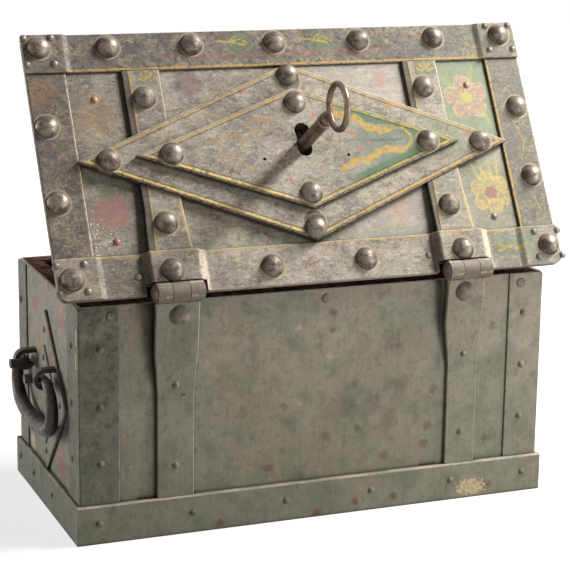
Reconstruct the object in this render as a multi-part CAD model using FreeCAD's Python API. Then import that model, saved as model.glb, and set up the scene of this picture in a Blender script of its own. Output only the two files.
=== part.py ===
import FreeCAD, Part
import math
import os

# Armada chest: a sheet-iron strongbox with a strapped lid and a lock on the lid's underside.
# Millimetres, +Z up. The front faces -Y, the hinges are at the back (+Y).
# The origin is the centre of the bottom face. The lid is drawn closed and then opened.

V = FreeCAD.Vector

# Box: the outer faces of its corner bands
box_width = 460.0
box_depth = 216.0
box_height = 218.0
wall_t = 2.5
bottom_t = 2.5
band_t = 1.5
band_on_back = {"right": 37.5, "left": 36.0}
band_on_end = {"back": 38.0, "front": 31.0}
corner_round = 5.0
band_edge_r = 1.2
strip_bevel = 0.7

# Plinth band round the foot
plinth_height = 36.0
plinth_proud = 3.5
plinth_bevel = 1.5

# Inner rim: angle iron flush with the mouth, which the bolts catch under
rim_width = 20.0
rim_t = 2.5
rim_leg = 20.0

# Hinges
hinge_overhang = 10.0
hinge_above_box = 11.0
knuckle_r = 9.0
knuckle_length = 13.2
middle_knuckle_length = 16.0
knuckle_gap = 0.4
pin_r = 3.5
pin_running_gap = 0.05
pin_seat_gap = 0.02
pin_head_r = 8.4
pin_head_h = 4.0
pin_tail_r = 5.5
pin_tail_h = 1.6
hinge_x = {"right": 140.0, "left": -144.5}

# Straps on the back wall below the hinges, and their twins on the front
wall_strap_t = 3.0
wall_strap_width = {"right": 35.0, "left": 31.5}
wall_strap_top_width = {"right": 41.0, "left": 38.0}
wall_strap_top_shift = {"right": 0.5, "left": 2.5}
wall_strap_bend_from_top = 86.0
wall_strap_flare_above_bend = 4.0
wall_strap_flare_from_top = 43.0
wall_strap_x = {"right": 140.5, "left": -146.0}

# Lid: a plate with border strips, two straps and two raised lozenges
lid_end_overhang = 17.0
lid_front_overhang = 24.0
lid_t = 3.0
lid_corner_r = 8.0
lid_seat_gap = 0.3
lid_rest_angle = 60.0
border_t = 2.4
border_width_end = 36.5
border_width_front = 37.0
border_width_back = 38.5
joggle_clear = 1.0
joggle_run = 5.0
bend_r = 4.0
bridge_run = {"right": 5.0, "left": 10.0}
bridge_side_gap = 1.8
layer_gap = 0.2

lid_strap_t = 3.2
lid_strap_width = 35.0
lid_strap_end_width = 41.0
lid_strap_x = {"right": 140.8, "left": -139.5}
lid_strap_rise = 4.8
lid_strap_rise_start = 145.0
lid_strap_flare_start = 80.0

lozenge_x = 0.0
lozenge_forward = 1.0
outer_lozenge_half_x = 213.5
outer_lozenge_half_y = 86.5
outer_lozenge_height = 7.7
inner_lozenge_forward = 2.2
inner_lozenge_half_x = 160.5
inner_lozenge_half_y = 59.0
inner_lozenge_height = 5.5
lozenge_sheet_t = 2.4
lozenge_bevel = 0.8

# Domed rivets on the lid
dome_r = 10.8
dome_h = 8.0
dome_shank_r = 3.0
front_dome_inset = 13.0
front_corner_dome_inset = {"right": 14.5, "left": 16.5}
front_dome_x = [167.5, 87.5, 5.0, -81.0, -160.0]
end_dome_inset = 12.2
end_dome_from_middle = [37.0, -34.5]
back_dome_from_hinge = 19.0
back_corner_dome_inset = {"right": 13.5, "left": 11.5}
back_dome_x = [46.3, -46.0]
strap_dome_from_middle = [61.0, -60.0]
bridge_dome_from_hinge = 19.5
bridge_dome_shift = {"right": 3.0, "left": 0.0}
outer_lozenge_dome_x = 184.5
outer_lozenge_dome_y = 75.5
inner_lozenge_dome_x = 127.0
inner_lozenge_dome_y = 44.5

# Small rivets
small_head_r = 3.4
small_head_h = 1.9
small_shank_r = 1.8
corner_small_offset = 12.6
corner_small_shift = {"front": 3.0, "back": 1.0}
panel_rivet_inset_x = 15.0
panel_rivet_inset_y = {1: 16.0, -1: 13.0}
stray_rivet_x = [173.3, -109.2]
stray_rivet_from_hinge = 17.5
shank_gap = 0.05
tail_h = 1.1

# Rivets on the box
band_rivet_from_top = 38.5
band_rivet_above_plinth = {"right": 38.0, "left": 40.2}
band_rivet_inset = 20.0
end_band_rivet_inset = {1: 23.5, -1: 12.0}
rim_rivet_from_top = 9.0
rim_rivet_x = [box_width / 2 - 30.0, -5.5, 24.0 - box_width / 2]
rim_rivet_r = 4.6
rim_rivet_h = 0.5
plinth_rivet_z = 19.5
plinth_rivet_x = [213.0, 124.5, 33.0, -53.0, -136.5, -214.0]
end_plinth_rivet_y = [24.0, -44.0, -97.0]
strap_rivet_above_bend = {"right": 9.5, "left": 13.0}
strap_rivet_above_plinth = {"right": 29.5, "left": 31.0}
hinge_rivet_x = {"right": 139.3, "left": -142.0}
hinge_rivet_from_top = 10.5
hinge_rivet_r = 9.6
hinge_rivet_h = 4.8

# End lozenges behind the handles
end_lozenge_y = -3.0
end_lozenge_from_top = 27.0
end_lozenge_half_y = 72.5
end_lozenge_t = 3.0
end_lozenge_bevel = 1.0
end_lozenge_rivet_inset = {"top": 19.0, "bottom": 18.5}
end_lozenge_rivet_y = 52.0
end_boss_y = -1.5
end_boss_drop = 3.5
end_boss_half_y = 43.0
end_boss_half_z = 48.0
end_boss_t = 1.5
end_boss_rivet_z = 36.0

# Drop handles: a bail hung in two P-shaped staples
staple_spacing = 72.0
staple_width = 8.0
staple_t = 4.0
staple_eye_r = 6.0
staple_eye_off_wall = 13.5
staple_from_top = 72.5
staple_tongue = 16.0
staple_opening_deg = 28.0
bail_end_r = 4.5
bail_grip_r = 7.2
bail_side_gap = 0.6
bail_rest_gap = 0.3
bail_elbow_r = 6.0
bail_shoulder_gap = 1.8
bail_corner_r = 22.5
bail_bow = 5.0
bail_tip_reach = 16.0

# Lock under the lid
lock_plate_end_gap = 8.0
lock_plate_side_gap = 6.0
lock_plate_t = 3.0
key_x = -1.5
key_forward = 5.5
bolt_travel = 14.0
key_turn = 90.0
mouth_clearance = 6.0
bolt_gap = 0.3
bolt_t = 8.0
bolt_width = 16.0
end_bolt_y = 42.0
side_bolt_x = 112.0
bar_t = 4.0
bar_width = 14.0
crossbar_width = 9.0
end_crossbar_inset = 34.0
side_crossbar_inset = 30.0
guide_wall = 4.0
guide_length = 4.0
end_guide_from_mouth = 13.0
side_guide_from_mouth = 9.0
guide_gap = 0.2
bar_guide_gap = 2.5

rotor_hub_r = 21.0
rotor_disc_t = 3.6
rotor_disc_margin = 4.5
rotor_floor_t = 2.5
rotor_running_gap = 0.08
slot_start_r = 31.0
drive_pin_r = 3.0
slot_gap = 0.45

cover_x = 78.0
cover_y = 58.0
cover_t = 1.5
cover_z_below_lid = 15.0
petal_arc_r = 15.0
petal_half_width = 3.8
petal_ring_r = 36.5
petals = 12
quatrefoil_x = 54.0
quatrefoil_y = 41.0
quatrefoil_r = 3.9
quatrefoil_offset = 3.5
scallop_r = 9.0
pillar_x = 66.0
pillar_y = 19.5
pillar_r = 4.0

spring_t = 1.2
spring_height = 6.0
spring_half_length = 28.0
spring_sag = 6.0
spring_end_gap = 3.5
spring_post_r = 2.5
spring_post_inset = 0.5
spring_touch_gap = 0.25

# Key
key_shank_r = 6.1
key_bow_distance = 89.0
key_bow_outer_r = 23.0
key_bow_wire_r = 2.8
key_bit_reach = 18.0
key_bit_t = 4.6
key_bit_height = 9.0
key_post_r = 3.0
key_fit = 0.3
keyhole_top_r = 7.6
keyhole_top_offset = 12.8
keyhole_bottom_r = 7.0
keyhole_bottom_offset = -5.2
keyhole_waist = 6.7
cover_pin_hole_r = 1.5
cover_pin_hole_x = [40.2, -43.4]
cover_pin_hole_behind = 7.8

# Planes that follow from the sizes above
half_x = box_width / 2
half_y = box_depth / 2
wall_x = half_x - band_t
wall_y = half_y - band_t
inner_x = wall_x - wall_t
inner_y = wall_y - wall_t
plinth_x = half_x + plinth_proud
plinth_y = half_y + plinth_proud
mouth_x = half_x - rim_width
mouth_y = half_y - rim_width
rim_bottom_z = box_height - rim_t
leg_x = inner_x - rim_t
leg_y = inner_y - rim_t

hinge_y = half_y + hinge_overhang
hinge_z = box_height + hinge_above_box
wall_strap_bend_z = box_height - wall_strap_bend_from_top
wall_strap_flare_z = box_height - wall_strap_flare_from_top
lid_width = box_width + 2 * lid_end_overhang
lid_depth = box_depth + hinge_overhang + lid_front_overhang
barrel_length = 2 * knuckle_length + middle_knuckle_length + 2 * knuckle_gap
notch_depth = knuckle_r + 0.8

strap_lean_angle = math.atan2(hinge_y - wall_strap_t / 2 - wall_y,
                              hinge_z - wall_strap_bend_z)

lid_z = box_height + lid_seat_gap
lid_top = lid_z + lid_t
border_top = lid_top + border_t
corner_top = border_top + border_t
outer_top = lid_top + outer_lozenge_height
inner_top = outer_top + inner_lozenge_height
lid_middle_y = hinge_y - lid_depth / 2
lozenge_y = lid_middle_y - lozenge_forward
inner_lozenge_y = lid_middle_y - inner_lozenge_forward
key_y = lid_middle_y - key_forward

plate_z = lid_z - lock_plate_t
bolt_top = plate_z - bolt_gap
bolt_z = bolt_top - bolt_t
bar_z = bolt_z
bar_top = bar_z + bar_t
disc_top = plate_z - bolt_gap
disc_z = disc_top - rotor_disc_t
cover_top = lid_z - cover_z_below_lid + cover_t
cover_z = lid_z - cover_z_below_lid
rotor_z = cover_top + bolt_gap
rotor_floor_z = rotor_z + rotor_floor_t
slot_end_r = slot_start_r + bolt_travel
disc_r = slot_end_r + drive_pin_r + slot_gap + rotor_disc_margin
bolt_tip_x = mouth_x - mouth_clearance
bolt_tip_y = mouth_y - mouth_clearance
lock_plate_x = mouth_x - lock_plate_end_gap
lock_plate_y = mouth_y - lock_plate_side_gap
spring_post_x = spring_half_length - spring_post_inset
spring_x = bolt_tip_x - end_crossbar_inset - spring_end_gap - spring_post_r - spring_post_x
bar_guide_x = spring_x - spring_post_x - spring_post_r - bar_guide_gap - guide_length

band_rivet_top_z = box_height - band_rivet_from_top
rim_rivet_z = box_height - rim_rivet_from_top
hinge_rivet_z = box_height - hinge_rivet_from_top
end_lozenge_top_z = box_height - end_lozenge_from_top
end_lozenge_half_z = (end_lozenge_top_z - plinth_height) / 2
end_lozenge_z = plinth_height + end_lozenge_half_z
end_lozenge_rivet_z = [end_lozenge_top_z - end_lozenge_rivet_inset["top"],
                       plinth_height + end_lozenge_rivet_inset["bottom"]]
end_boss_z = end_lozenge_z - end_boss_drop
staple_top_z = box_height - staple_from_top

parts = {}


def box(x0, x1, y0, y1, z0, z1):
    return Part.makeBox(x1 - x0, y1 - y0, z1 - z0, V(x0, y0, z0))


def cylinder(point, axis, radius, length):
    return Part.makeCylinder(radius, length, point, axis)


def prism(points, direction):
    return Part.Face(Part.makePolygon(points + points[:1])).extrude(direction)


def prism_xy(outline, z0, z1):
    return prism([V(x, y, z0) for x, y in outline], V(0, 0, z1 - z0))


def prism_yz(outline, x0, x1):
    return prism([V(x0, y, z) for y, z in outline], V(x1 - x0, 0, 0))


def prism_xz(outline, y0, y1):
    return prism([V(x, y0, z) for x, z in outline], V(0, y1 - y0, 0))


def rounded_plate(half_width, y0, y1, z0, z1, radius):
    plate = box(-half_width, half_width, y0, y1, z0, z1)
    upright = [edge for edge in plate.Edges if edge.BoundBox.ZLength > (z1 - z0) * 0.9]
    return plate.makeFillet(radius, upright)


def cap(radius, height, z, way):
    """Half the section of a spherical cap on the Z axis, from its rim to its crown."""
    ball_r = (radius ** 2 + height ** 2) / (2 * height)
    half_angle = math.asin(min(1.0, radius / ball_r)) / 2
    middle = V(ball_r * math.sin(half_angle), 0,
               z + way * (height - ball_r * (1 - math.cos(half_angle))))
    return Part.Arc(V(radius, 0, z), middle, V(0, 0, z + way * height)).toShape()


def turned(edges):
    """A solid of revolution about the Z axis from the edges of its half section."""
    wire = Part.Wire(Part.__sortEdges__(edges))
    solid = Part.Face(wire).revolve(V(0, 0, 0), V(0, 0, 1), 360)
    if solid.Volume < 0:
        solid.reverse()
    return solid


def rivet(head_r, head_h, shank_r, grip, tail_r=0.0):
    """A domed rivet on the Z axis: the head sits at z = 0 and the shank goes down."""
    edges = [cap(head_r, head_h, 0, 1)]
    corners = [V(0, 0, head_h)]
    if tail_r > 0:
        corners.append(V(0, 0, -grip - tail_h))
        corners.append(V(tail_r * 0.6, 0, -grip - tail_h))
        corners.append(V(tail_r, 0, -grip))
    else:
        corners.append(V(0, 0, -grip))
    corners.append(V(shank_r, 0, -grip))
    corners.append(V(shank_r, 0, 0))
    corners.append(V(head_r, 0, 0))
    for start, end in zip(corners, corners[1:]):
        edges.append(Part.makeLine(start, end))
    return turned(edges)


def placed(shape, point, outward):
    """A copy of a shape drawn on the Z axis, set at a point with Z turned outward."""
    copy = shape.copy()
    copy.Placement = FreeCAD.Placement(point, FreeCAD.Rotation(V(0, 0, 1), outward))
    return copy


def shank_hole(point, outward, shank_r, depth):
    start = point + outward * 1.0
    return cylinder(start, outward * -1, shank_r + shank_gap, depth + 2.0)


def solids_of(shapes):
    found = []
    for shape in shapes:
        found.extend(shape.Solids)
    return found


def keep(name, *shapes):
    """Stores a node as the clean solids of one or more shapes."""
    solids = [solid.removeSplitter() for solid in solids_of(shapes)]
    parts[name] = solids[0] if len(solids) == 1 else Part.makeCompound(solids)


def opened(shape):
    """A copy of a closed-lid shape, swung open about the hinge line."""
    copy = shape.copy()
    copy.rotate(V(0, hinge_y, hinge_z), V(1, 0, 0), -lid_rest_angle)
    return copy


def keep_on_lid(name, *shapes):
    keep(name, *[opened(shape) for shape in shapes])


# Rivets of the box: head point, outward direction, sizes and the nodes that they pass through
box_rivets = {}
box_holes = []


def rivet_strap(x, z, head_r, head_h, inner_face):
    """A rivet square to the back strap, which leans outward above its bend."""
    lean = 0.0
    if z > wall_strap_bend_z:
        lean = strap_lean_angle
    outward = V(0, math.cos(lean), -math.sin(lean))
    point = V(x, wall_y + strap_lean(z) + wall_strap_t / math.cos(lean), z)
    grip = (point.y - inner_face) / math.cos(lean) + 5.0 * math.sin(lean)
    rivet_box("strap_rivets", point, outward, grip, head_r, head_h)


def rivet_box(group, point, outward, grip, head_r=small_head_r, head_h=small_head_h):
    shank_r = small_shank_r
    if head_r > small_head_r * 2:
        shank_r = dome_shank_r
    solid = placed(rivet(head_r, head_h, shank_r, grip, shank_r + 1.2), point, outward)
    box_rivets.setdefault(group, []).append(solid)
    box_holes.append(shank_hole(point, outward, shank_r, grip))


def place_box_rivets():
    skin = wall_t + band_t
    for name, side in (("right", 1), ("left", -1)):
        low_z = plinth_height + band_rivet_above_plinth[name]
        for z in (band_rivet_top_z, (band_rivet_top_z + low_z) / 2, low_z):
            for face in (1, -1):
                on_band = V(side * (half_x - band_rivet_inset), face * half_y, z)
                rivet_box("band_rivets", on_band, V(0, face, 0), skin)
                on_end = V(side * half_x, face * (half_y - end_band_rivet_inset[face]), z)
                rivet_box("band_rivets", on_end, V(side, 0, 0), skin)
        for y in end_plinth_rivet_y:
            foot = V(side * plinth_x, y, plinth_rivet_z)
            rivet_box("plinth_rivets", foot, V(side, 0, 0), skin + plinth_proud)
        for z in end_lozenge_rivet_z:
            point = V(side * (wall_x + end_lozenge_t), end_lozenge_y, z)
            rivet_box("end_lozenge_rivets", point, V(side, 0, 0), wall_t + end_lozenge_t)
        for y in (end_lozenge_rivet_y, -end_lozenge_rivet_y):
            point = V(side * (wall_x + end_lozenge_t), end_lozenge_y + y, end_lozenge_z)
            rivet_box("end_lozenge_rivets", point, V(side, 0, 0), wall_t + end_lozenge_t)
        boss_x = wall_x + end_lozenge_t + end_boss_t
        for z in (end_boss_z + end_boss_rivet_z, end_boss_z - end_boss_rivet_z):
            rivet_box("end_lozenge_rivets", V(side * boss_x, end_boss_y, z), V(side, 0, 0),
                      boss_x - inner_x)
    for face in (1, -1):
        for x in plinth_rivet_x:
            foot = V(x, face * plinth_y, plinth_rivet_z)
            rivet_box("plinth_rivets", foot, V(0, face, 0), skin + plinth_proud)
        for x in rim_rivet_x:
            on_band = abs(x) > half_x - band_on_back["right" if x > 0 else "left"]
            proud = half_y if on_band else wall_y
            grip = skin + rim_t if on_band else wall_t + rim_t
            rivet_box("rim_rivets", V(x, face * proud, rim_rivet_z), V(0, face, 0), grip,
                      rim_rivet_r, rim_rivet_h)
    for name, x in wall_strap_x.items():
        front_y = -wall_y - wall_strap_t
        for z in (wall_strap_bend_z + strap_rivet_above_bend[name],
                  plinth_height + strap_rivet_above_plinth[name]):
            rivet_strap(x, z, small_head_r, small_head_h, inner_y)
            rivet_box("strap_rivets", V(x, front_y, z), V(0, -1, 0), wall_t + wall_strap_t)
        dome_x = hinge_rivet_x[name]
        rivet_strap(dome_x, hinge_rivet_z, hinge_rivet_r, hinge_rivet_h, leg_y)
        rivet_box("strap_rivets", V(dome_x, front_y, hinge_rivet_z), V(0, -1, 0),
                  wall_y + wall_strap_t - leg_y, hinge_rivet_r, hinge_rivet_h)


def strap_lean(z):
    """How far the back strap's inner face stands off the wall at a height."""
    if z <= wall_strap_bend_z:
        return 0.0
    return (z - wall_strap_bend_z) * math.tan(strap_lean_angle)


def corner_cutter():
    """Rounds the four top corners of the box where two walls and the top meet."""
    cutters = []
    size = corner_round
    for side in (1, -1):
        for face in (1, -1):
            along = V(side, face, 0).normalize()
            across = V(-face, side, 0).normalize()
            corner = V(side * half_x, face * half_y, box_height)
            centre = corner - along * size - V(0, 0, size)
            block = [centre + across * 20,
                     centre + across * 20 + along * size * 3,
                     centre + across * 20 + along * size * 3 + V(0, 0, size * 3),
                     centre + across * 20 + V(0, 0, size * 3)]
            quarter = prism(block, across * -40)
            drum = cylinder(centre + across * 21, across * -1, size, 42)
            cutters.append(quarter.cut(drum))
    return cutters


def meeting_edges(shape, outward, sideways):
    """The edges where a face that looks outward meets a face that looks to either side."""
    found = []
    for edge in shape.Edges:
        looks = []
        for face in shape.ancestorsOfType(edge, Part.Face):
            looks.append(face.normalAt(*face.Surface.parameter(edge.CenterOfMass)))
        faces_out = any(look.dot(outward) > 0.7 for look in looks)
        faces_side = any(abs(look.dot(sideways)) > 0.9 for look in looks)
        if faces_out and faces_side:
            found.append(edge)
    return found


def bevelled(shape, outward, sideways, size=strip_bevel):
    return shape.makeChamfer(size, meeting_edges(shape, outward, sideways))


def drilled(shape, holes):
    """The shape without the holes whose boxes reach it."""
    near = [hole for hole in holes if hole.BoundBox.intersect(shape.BoundBox)]
    return shape.cut(near) if near else shape


def make_box_shell():
    place_box_rivets()
    rounding = corner_cutter()
    staple_slots = staple_tongues(1) + staple_tongues(-1)

    keep("bottom_plate", box(-inner_x, inner_x, -inner_y, inner_y, 0, bottom_t))
    for name, face in (("back", 1), ("front", -1)):
        y0, y1 = sorted((face * inner_y, face * wall_y))
        wall = box(-wall_x, wall_x, y0, y1, 0, box_height)
        keep(name + "_wall", drilled(wall.cut(rounding), box_holes))

        plinth = [(face * wall_y, 0), (face * plinth_y, 0),
                  (face * plinth_y, plinth_height - plinth_bevel),
                  (face * (plinth_y - plinth_bevel), plinth_height),
                  (face * wall_y, plinth_height)]
        keep("plinth_" + name, drilled(prism_yz(plinth, -plinth_x, plinth_x), box_holes))

        rim = [(face * inner_y, box_height), (face * mouth_y, box_height),
               (face * mouth_y, rim_bottom_z), (face * leg_y, rim_bottom_z),
               (face * leg_y, box_height - rim_leg), (face * inner_y, box_height - rim_leg)]
        keep("rim_" + name, drilled(prism_yz(rim, -inner_x, inner_x), box_holes))

    for name, side in (("right", 1), ("left", -1)):
        x0, x1 = sorted((side * inner_x, side * wall_x))
        wall = box(x0, x1, -inner_y, inner_y, 0, box_height)
        keep("end_wall_" + name, drilled(wall.cut(rounding + staple_slots), box_holes))

        plinth = [(side * wall_x, 0), (side * plinth_x, 0),
                  (side * plinth_x, plinth_height - plinth_bevel),
                  (side * (plinth_x - plinth_bevel), plinth_height),
                  (side * wall_x, plinth_height)]
        keep("plinth_" + name, drilled(prism_xz(plinth, -wall_y, wall_y), box_holes))

        x0, x1 = sorted((side * mouth_x, side * inner_x))
        shelf = box(x0, x1, -mouth_y, mouth_y, rim_bottom_z, box_height)
        x0, x1 = sorted((side * leg_x, side * inner_x))
        leg = box(x0, x1, -leg_y, leg_y, box_height - rim_leg, rim_bottom_z)
        keep("rim_" + name, shelf.fuse(leg))

        for end, face in (("back", 1), ("front", -1)):
            inward = half_y - band_on_end[end]
            across = half_x - band_on_back[name]
            outline = [(side * half_x, face * half_y),
                       (side * half_x, face * (inward + strip_bevel)),
                       (side * (half_x - strip_bevel), face * inward),
                       (side * wall_x, face * inward),
                       (side * wall_x, face * wall_y),
                       (side * across, face * wall_y),
                       (side * across, face * (half_y - strip_bevel)),
                       (side * (across + strip_bevel), face * half_y)]
            angle = prism_xy(outline, plinth_height, box_height)
            edges = [edge for edge in angle.Edges
                     if edge.CenterOfMass.distanceToPoint(V(side * half_x, face * half_y,
                                                            edge.CenterOfMass.z)) < 0.01]
            angle = angle.makeFillet(band_edge_r, edges)
            keep("corner_band_%s_%s" % (end, name), drilled(angle.cut(rounding), box_holes))

        plate = end_rhombus(side, wall_x, end_lozenge_t, end_lozenge_y, end_lozenge_z,
                            end_lozenge_half_y, end_lozenge_half_z, end_lozenge_bevel)
        keep("end_lozenge_" + name, drilled(plate.cut(staple_slots), box_holes))
        boss = end_rhombus(side, wall_x + end_lozenge_t, end_boss_t, end_boss_y, end_boss_z,
                           end_boss_half_y, end_boss_half_z, end_boss_t / 2)
        keep("end_boss_" + name, drilled(boss, box_holes))


def end_rhombus(side, seat_x, thickness, y, z, half_y_size, half_z_size, bevel):
    """A bevelled rhombus of sheet that lies on an end face."""
    seat = side * seat_x
    corners = [V(seat, y, z + half_z_size), V(seat, y + half_y_size, z),
               V(seat, y, z - half_z_size), V(seat, y - half_y_size, z)]
    plate = prism(corners, V(side * thickness, 0, 0))
    outer_x = seat + side * thickness
    rim_edges = [edge for edge in plate.Edges if abs(edge.CenterOfMass.x - outer_x) < 0.01]
    return plate.makeChamfer(bevel, rim_edges)


def wall_strap_outline(name, top_z):
    x = wall_strap_x[name]
    top_x = x + wall_strap_top_shift[name]
    low = wall_strap_width[name] / 2
    high = wall_strap_top_width[name] / 2
    flare_start_z = wall_strap_bend_z + wall_strap_flare_above_bend
    return [(x - low, plinth_height), (x + low, plinth_height),
            (x + low, flare_start_z), (top_x + high, wall_strap_flare_z),
            (top_x + high, top_z), (top_x - high, top_z),
            (top_x - high, wall_strap_flare_z), (x - low, flare_start_z)]


def pin_bore(x0, x1, bore_r):
    return cylinder(V(x0, hinge_y, hinge_z), V(1, 0, 0), bore_r, x1 - x0)


def make_wall_straps():
    top_z = hinge_z - knuckle_r - 0.6
    for name, x in wall_strap_x.items():
        lean = strap_lean(hinge_z)
        profile = [(wall_y, plinth_height), (wall_y, wall_strap_bend_z),
                   (wall_y + lean, hinge_z), (wall_y + lean + wall_strap_t, hinge_z),
                   (wall_y + wall_strap_t, wall_strap_bend_z),
                   (wall_y + wall_strap_t, plinth_height)]
        sheet = prism_yz(profile, x - wall_strap_top_width[name],
                         x + wall_strap_top_width[name])
        flared = prism_xz(wall_strap_outline(name, top_z), 0, box_depth)
        half = middle_knuckle_length / 2
        tongue = box(hinge_x[name] - half, hinge_x[name] + half, 0, box_depth,
                     top_z - 8, hinge_z)
        blade = bevelled(sheet.common(flared), V(0, 1, 0), V(1, 0, 0))
        strap = blade.fuse(sheet.common(tongue))
        eye = cylinder(V(hinge_x[name] - half, hinge_y, hinge_z), V(1, 0, 0),
                       knuckle_r, 2 * half)
        strap = strap.fuse(eye)
        bore = pin_bore(hinge_x[name] - half - 1, hinge_x[name] + half + 1,
                        pin_r + pin_seat_gap)
        keep("hinge_strap_" + name, drilled(strap.cut(bore), box_holes))

        front = prism_xz(wall_strap_outline(name, box_height), -wall_y - wall_strap_t, -wall_y)
        front = bevelled(front, V(0, -1, 0), V(1, 0, 0))
        keep("front_strap_" + name, drilled(front, box_holes))

        keep("hinge_pin_" + name, hinge_pin(hinge_x[name]))


def hinge_pin(x):
    """A pin with a domed head on the +X side and a hammered tail on the other."""
    half = barrel_length / 2 + knuckle_gap
    length = 2 * half
    edges = [cap(pin_head_r, pin_head_h, 0, 1), cap(pin_tail_r, pin_tail_h, -length, -1)]
    corners = [[V(0, 0, pin_head_h), V(0, 0, -length - pin_tail_h)],
               [V(pin_tail_r, 0, -length), V(pin_r, 0, -length)],
               [V(pin_r, 0, -length), V(pin_r, 0, 0)],
               [V(pin_r, 0, 0), V(pin_head_r, 0, 0)]]
    for start, end in corners:
        edges.append(Part.makeLine(start, end))
    return placed(turned(edges), V(x + half, hinge_y, hinge_z), V(1, 0, 0))


# Handles
eye_z = staple_top_z - staple_eye_r - staple_t
eye_x = wall_x + staple_eye_off_wall
bail_z = eye_z - (staple_eye_r - bail_end_r - bail_rest_gap)


def staple_tongues(side):
    """The slots in wall and lozenge that the staples' tongues pass through."""
    slots = []
    for end in (1, -1):
        y = end_lozenge_y + end * staple_spacing / 2
        x0, x1 = sorted((side * (inner_x - 1), side * (wall_x + end_lozenge_t + 1)))
        slots.append(box(x0, x1, y - staple_width / 2, y + staple_width / 2,
                         staple_top_z - staple_t, staple_top_z))
    return slots


def staple(side, y):
    """A flat band that leaves the wall, curls round the bail and ends near the wall."""
    outer_r = staple_eye_r + staple_t
    low, high = y - staple_width / 2, y + staple_width / 2
    ring = cylinder(V(side * eye_x, low, eye_z), V(0, 1, 0), outer_r, staple_width)
    shank_x = sorted((side * (inner_x - staple_t), side * eye_x))
    shank = box(shank_x[0], shank_x[1], low, high, eye_z, staple_top_z)
    clench_x = sorted((side * (inner_x - staple_t), side * inner_x))
    clench = box(clench_x[0], clench_x[1], low, high,
                 staple_top_z - staple_t - staple_tongue, staple_top_z)
    hollow = cylinder(V(side * eye_x, low - 1, eye_z), V(0, 1, 0), staple_eye_r,
                      staple_width + 2)
    throat_x = sorted((side * inner_x, side * eye_x))
    throat = box(throat_x[0], throat_x[1], low - 1, high + 1,
                 eye_z - 0.1, staple_top_z - staple_t)
    face_x = side * (wall_x + end_lozenge_t)
    wedge_angle = math.radians(staple_opening_deg)
    reach = 3 * outer_r
    mouth = prism([V(side * eye_x, low - 1, eye_z),
                   V(side * (eye_x - reach), low - 1, eye_z),
                   V(side * (eye_x - reach), low - 1, eye_z - reach * math.tan(wedge_angle))],
                  V(0, staple_width + 2, 0))
    beyond_x = sorted((face_x, face_x - side * 20))
    beyond = box(beyond_x[0], beyond_x[1], low - 1, high + 1,
                 eye_z - 20, staple_top_z - staple_t)
    band = ring.fuse(shank).cut([hollow, throat, mouth, beyond])
    return band.fuse(clench)


def bail(side):
    """A drop handle: both ends pass out through the eyes and turn, the grip is a bowed loop."""
    inner = staple_spacing / 2 - staple_width / 2 - bail_side_gap - bail_end_r
    shoulder = staple_spacing / 2 + staple_width / 2 + bail_shoulder_gap
    centre = V(side * eye_x, end_lozenge_y, bail_z)
    out = V(side, 0, 0)
    body = bail_grip(centre, shoulder)
    for end in (1, -1):
        along = V(0, end, 0)
        tip = centre + along * inner + out * bail_tip_reach
        turn_in = centre + along * inner + out * bail_elbow_r
        bend_in = centre + along * (inner + bail_elbow_r)
        chord = bail_elbow_r * (1 - math.sqrt(0.5))
        edges = [
            Part.makeLine(tip, turn_in),
            Part.Arc(turn_in, centre + along * (inner + chord) + out * chord,
                     bend_in).toShape(),
            Part.makeLine(bend_in, centre + along * shoulder)]
        section = Part.Wire(Part.makeCircle(bail_end_r, tip, out))
        body = body.fuse(Part.Wire(edges).makePipeShell([section], True, True))
    return body


def bail_grip(centre, shoulder):
    """A loop from shoulder to shoulder whose section swells towards the middle of the grip.

    Each half is a corner arc that meets the straight end at the shoulder, and then half of
    the wide arc that bows down below the two corners."""
    corner_r = bail_corner_r
    depth = corner_r + bail_bow
    wide_r = (shoulder ** 2 + depth ** 2 - corner_r ** 2) / (2 * bail_bow)
    half_bottom = math.asin(shoulder / (wide_r - corner_r))
    corner_turn = math.pi - half_bottom
    corner_steps = 8
    bottom_steps = 3
    stations = []
    for step in range(corner_steps + 1):
        stations.append((corner_turn * step / corner_steps, corner_turn * step * corner_r
                         / corner_steps))
    corner_length = corner_turn * corner_r
    length = corner_length + half_bottom * wide_r
    sections = []
    half_loop = []
    for turn, distance in stations:
        half_loop.append((shoulder + corner_r * math.sin(turn),
                          -corner_r + corner_r * math.cos(turn), turn, distance))
    for step in range(1, bottom_steps + 1):
        turn = corner_turn + half_bottom * step / bottom_steps
        slope = math.pi - turn
        half_loop.append((wide_r * math.sin(slope), wide_r * (1 - math.cos(slope))
                          - 2 * corner_r - bail_bow, turn,
                          corner_length + (turn - corner_turn) * wide_r))
    for end, loop in ((1, half_loop), (-1, half_loop[-2::-1])):
        for reach, drop, turn, distance in loop:
            swell = math.sin(math.pi / 2 * distance / length)
            radius = bail_end_r + (bail_grip_r - bail_end_r) * swell
            heading = V(0, end * math.cos(turn), -math.sin(turn))
            sections.append(Part.Wire(Part.makeCircle(
                radius, centre + V(0, end * reach, drop), heading * end)))
    return Part.makeLoft(sections, True, False)


def make_handles():
    for name, side in (("right", 1), ("left", -1)):
        eyes = [staple(side, end_lozenge_y + end * staple_spacing / 2) for end in (1, -1)]
        keep("handle_staples_" + name, *eyes)
        keep("handle_bail_" + name, bail(side))


# Lid, drawn closed
lid_front_y = hinge_y - lid_depth
lid_strap_front_y = lid_front_y + border_width_front + layer_gap
strap_rise_y = hinge_y - lid_strap_rise_start
strap_end_y = hinge_y - knuckle_r
bridge_seat_back = lid_top + lid_strap_rise + lid_strap_t + layer_gap
bridge_top_back = bridge_seat_back + border_t


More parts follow.
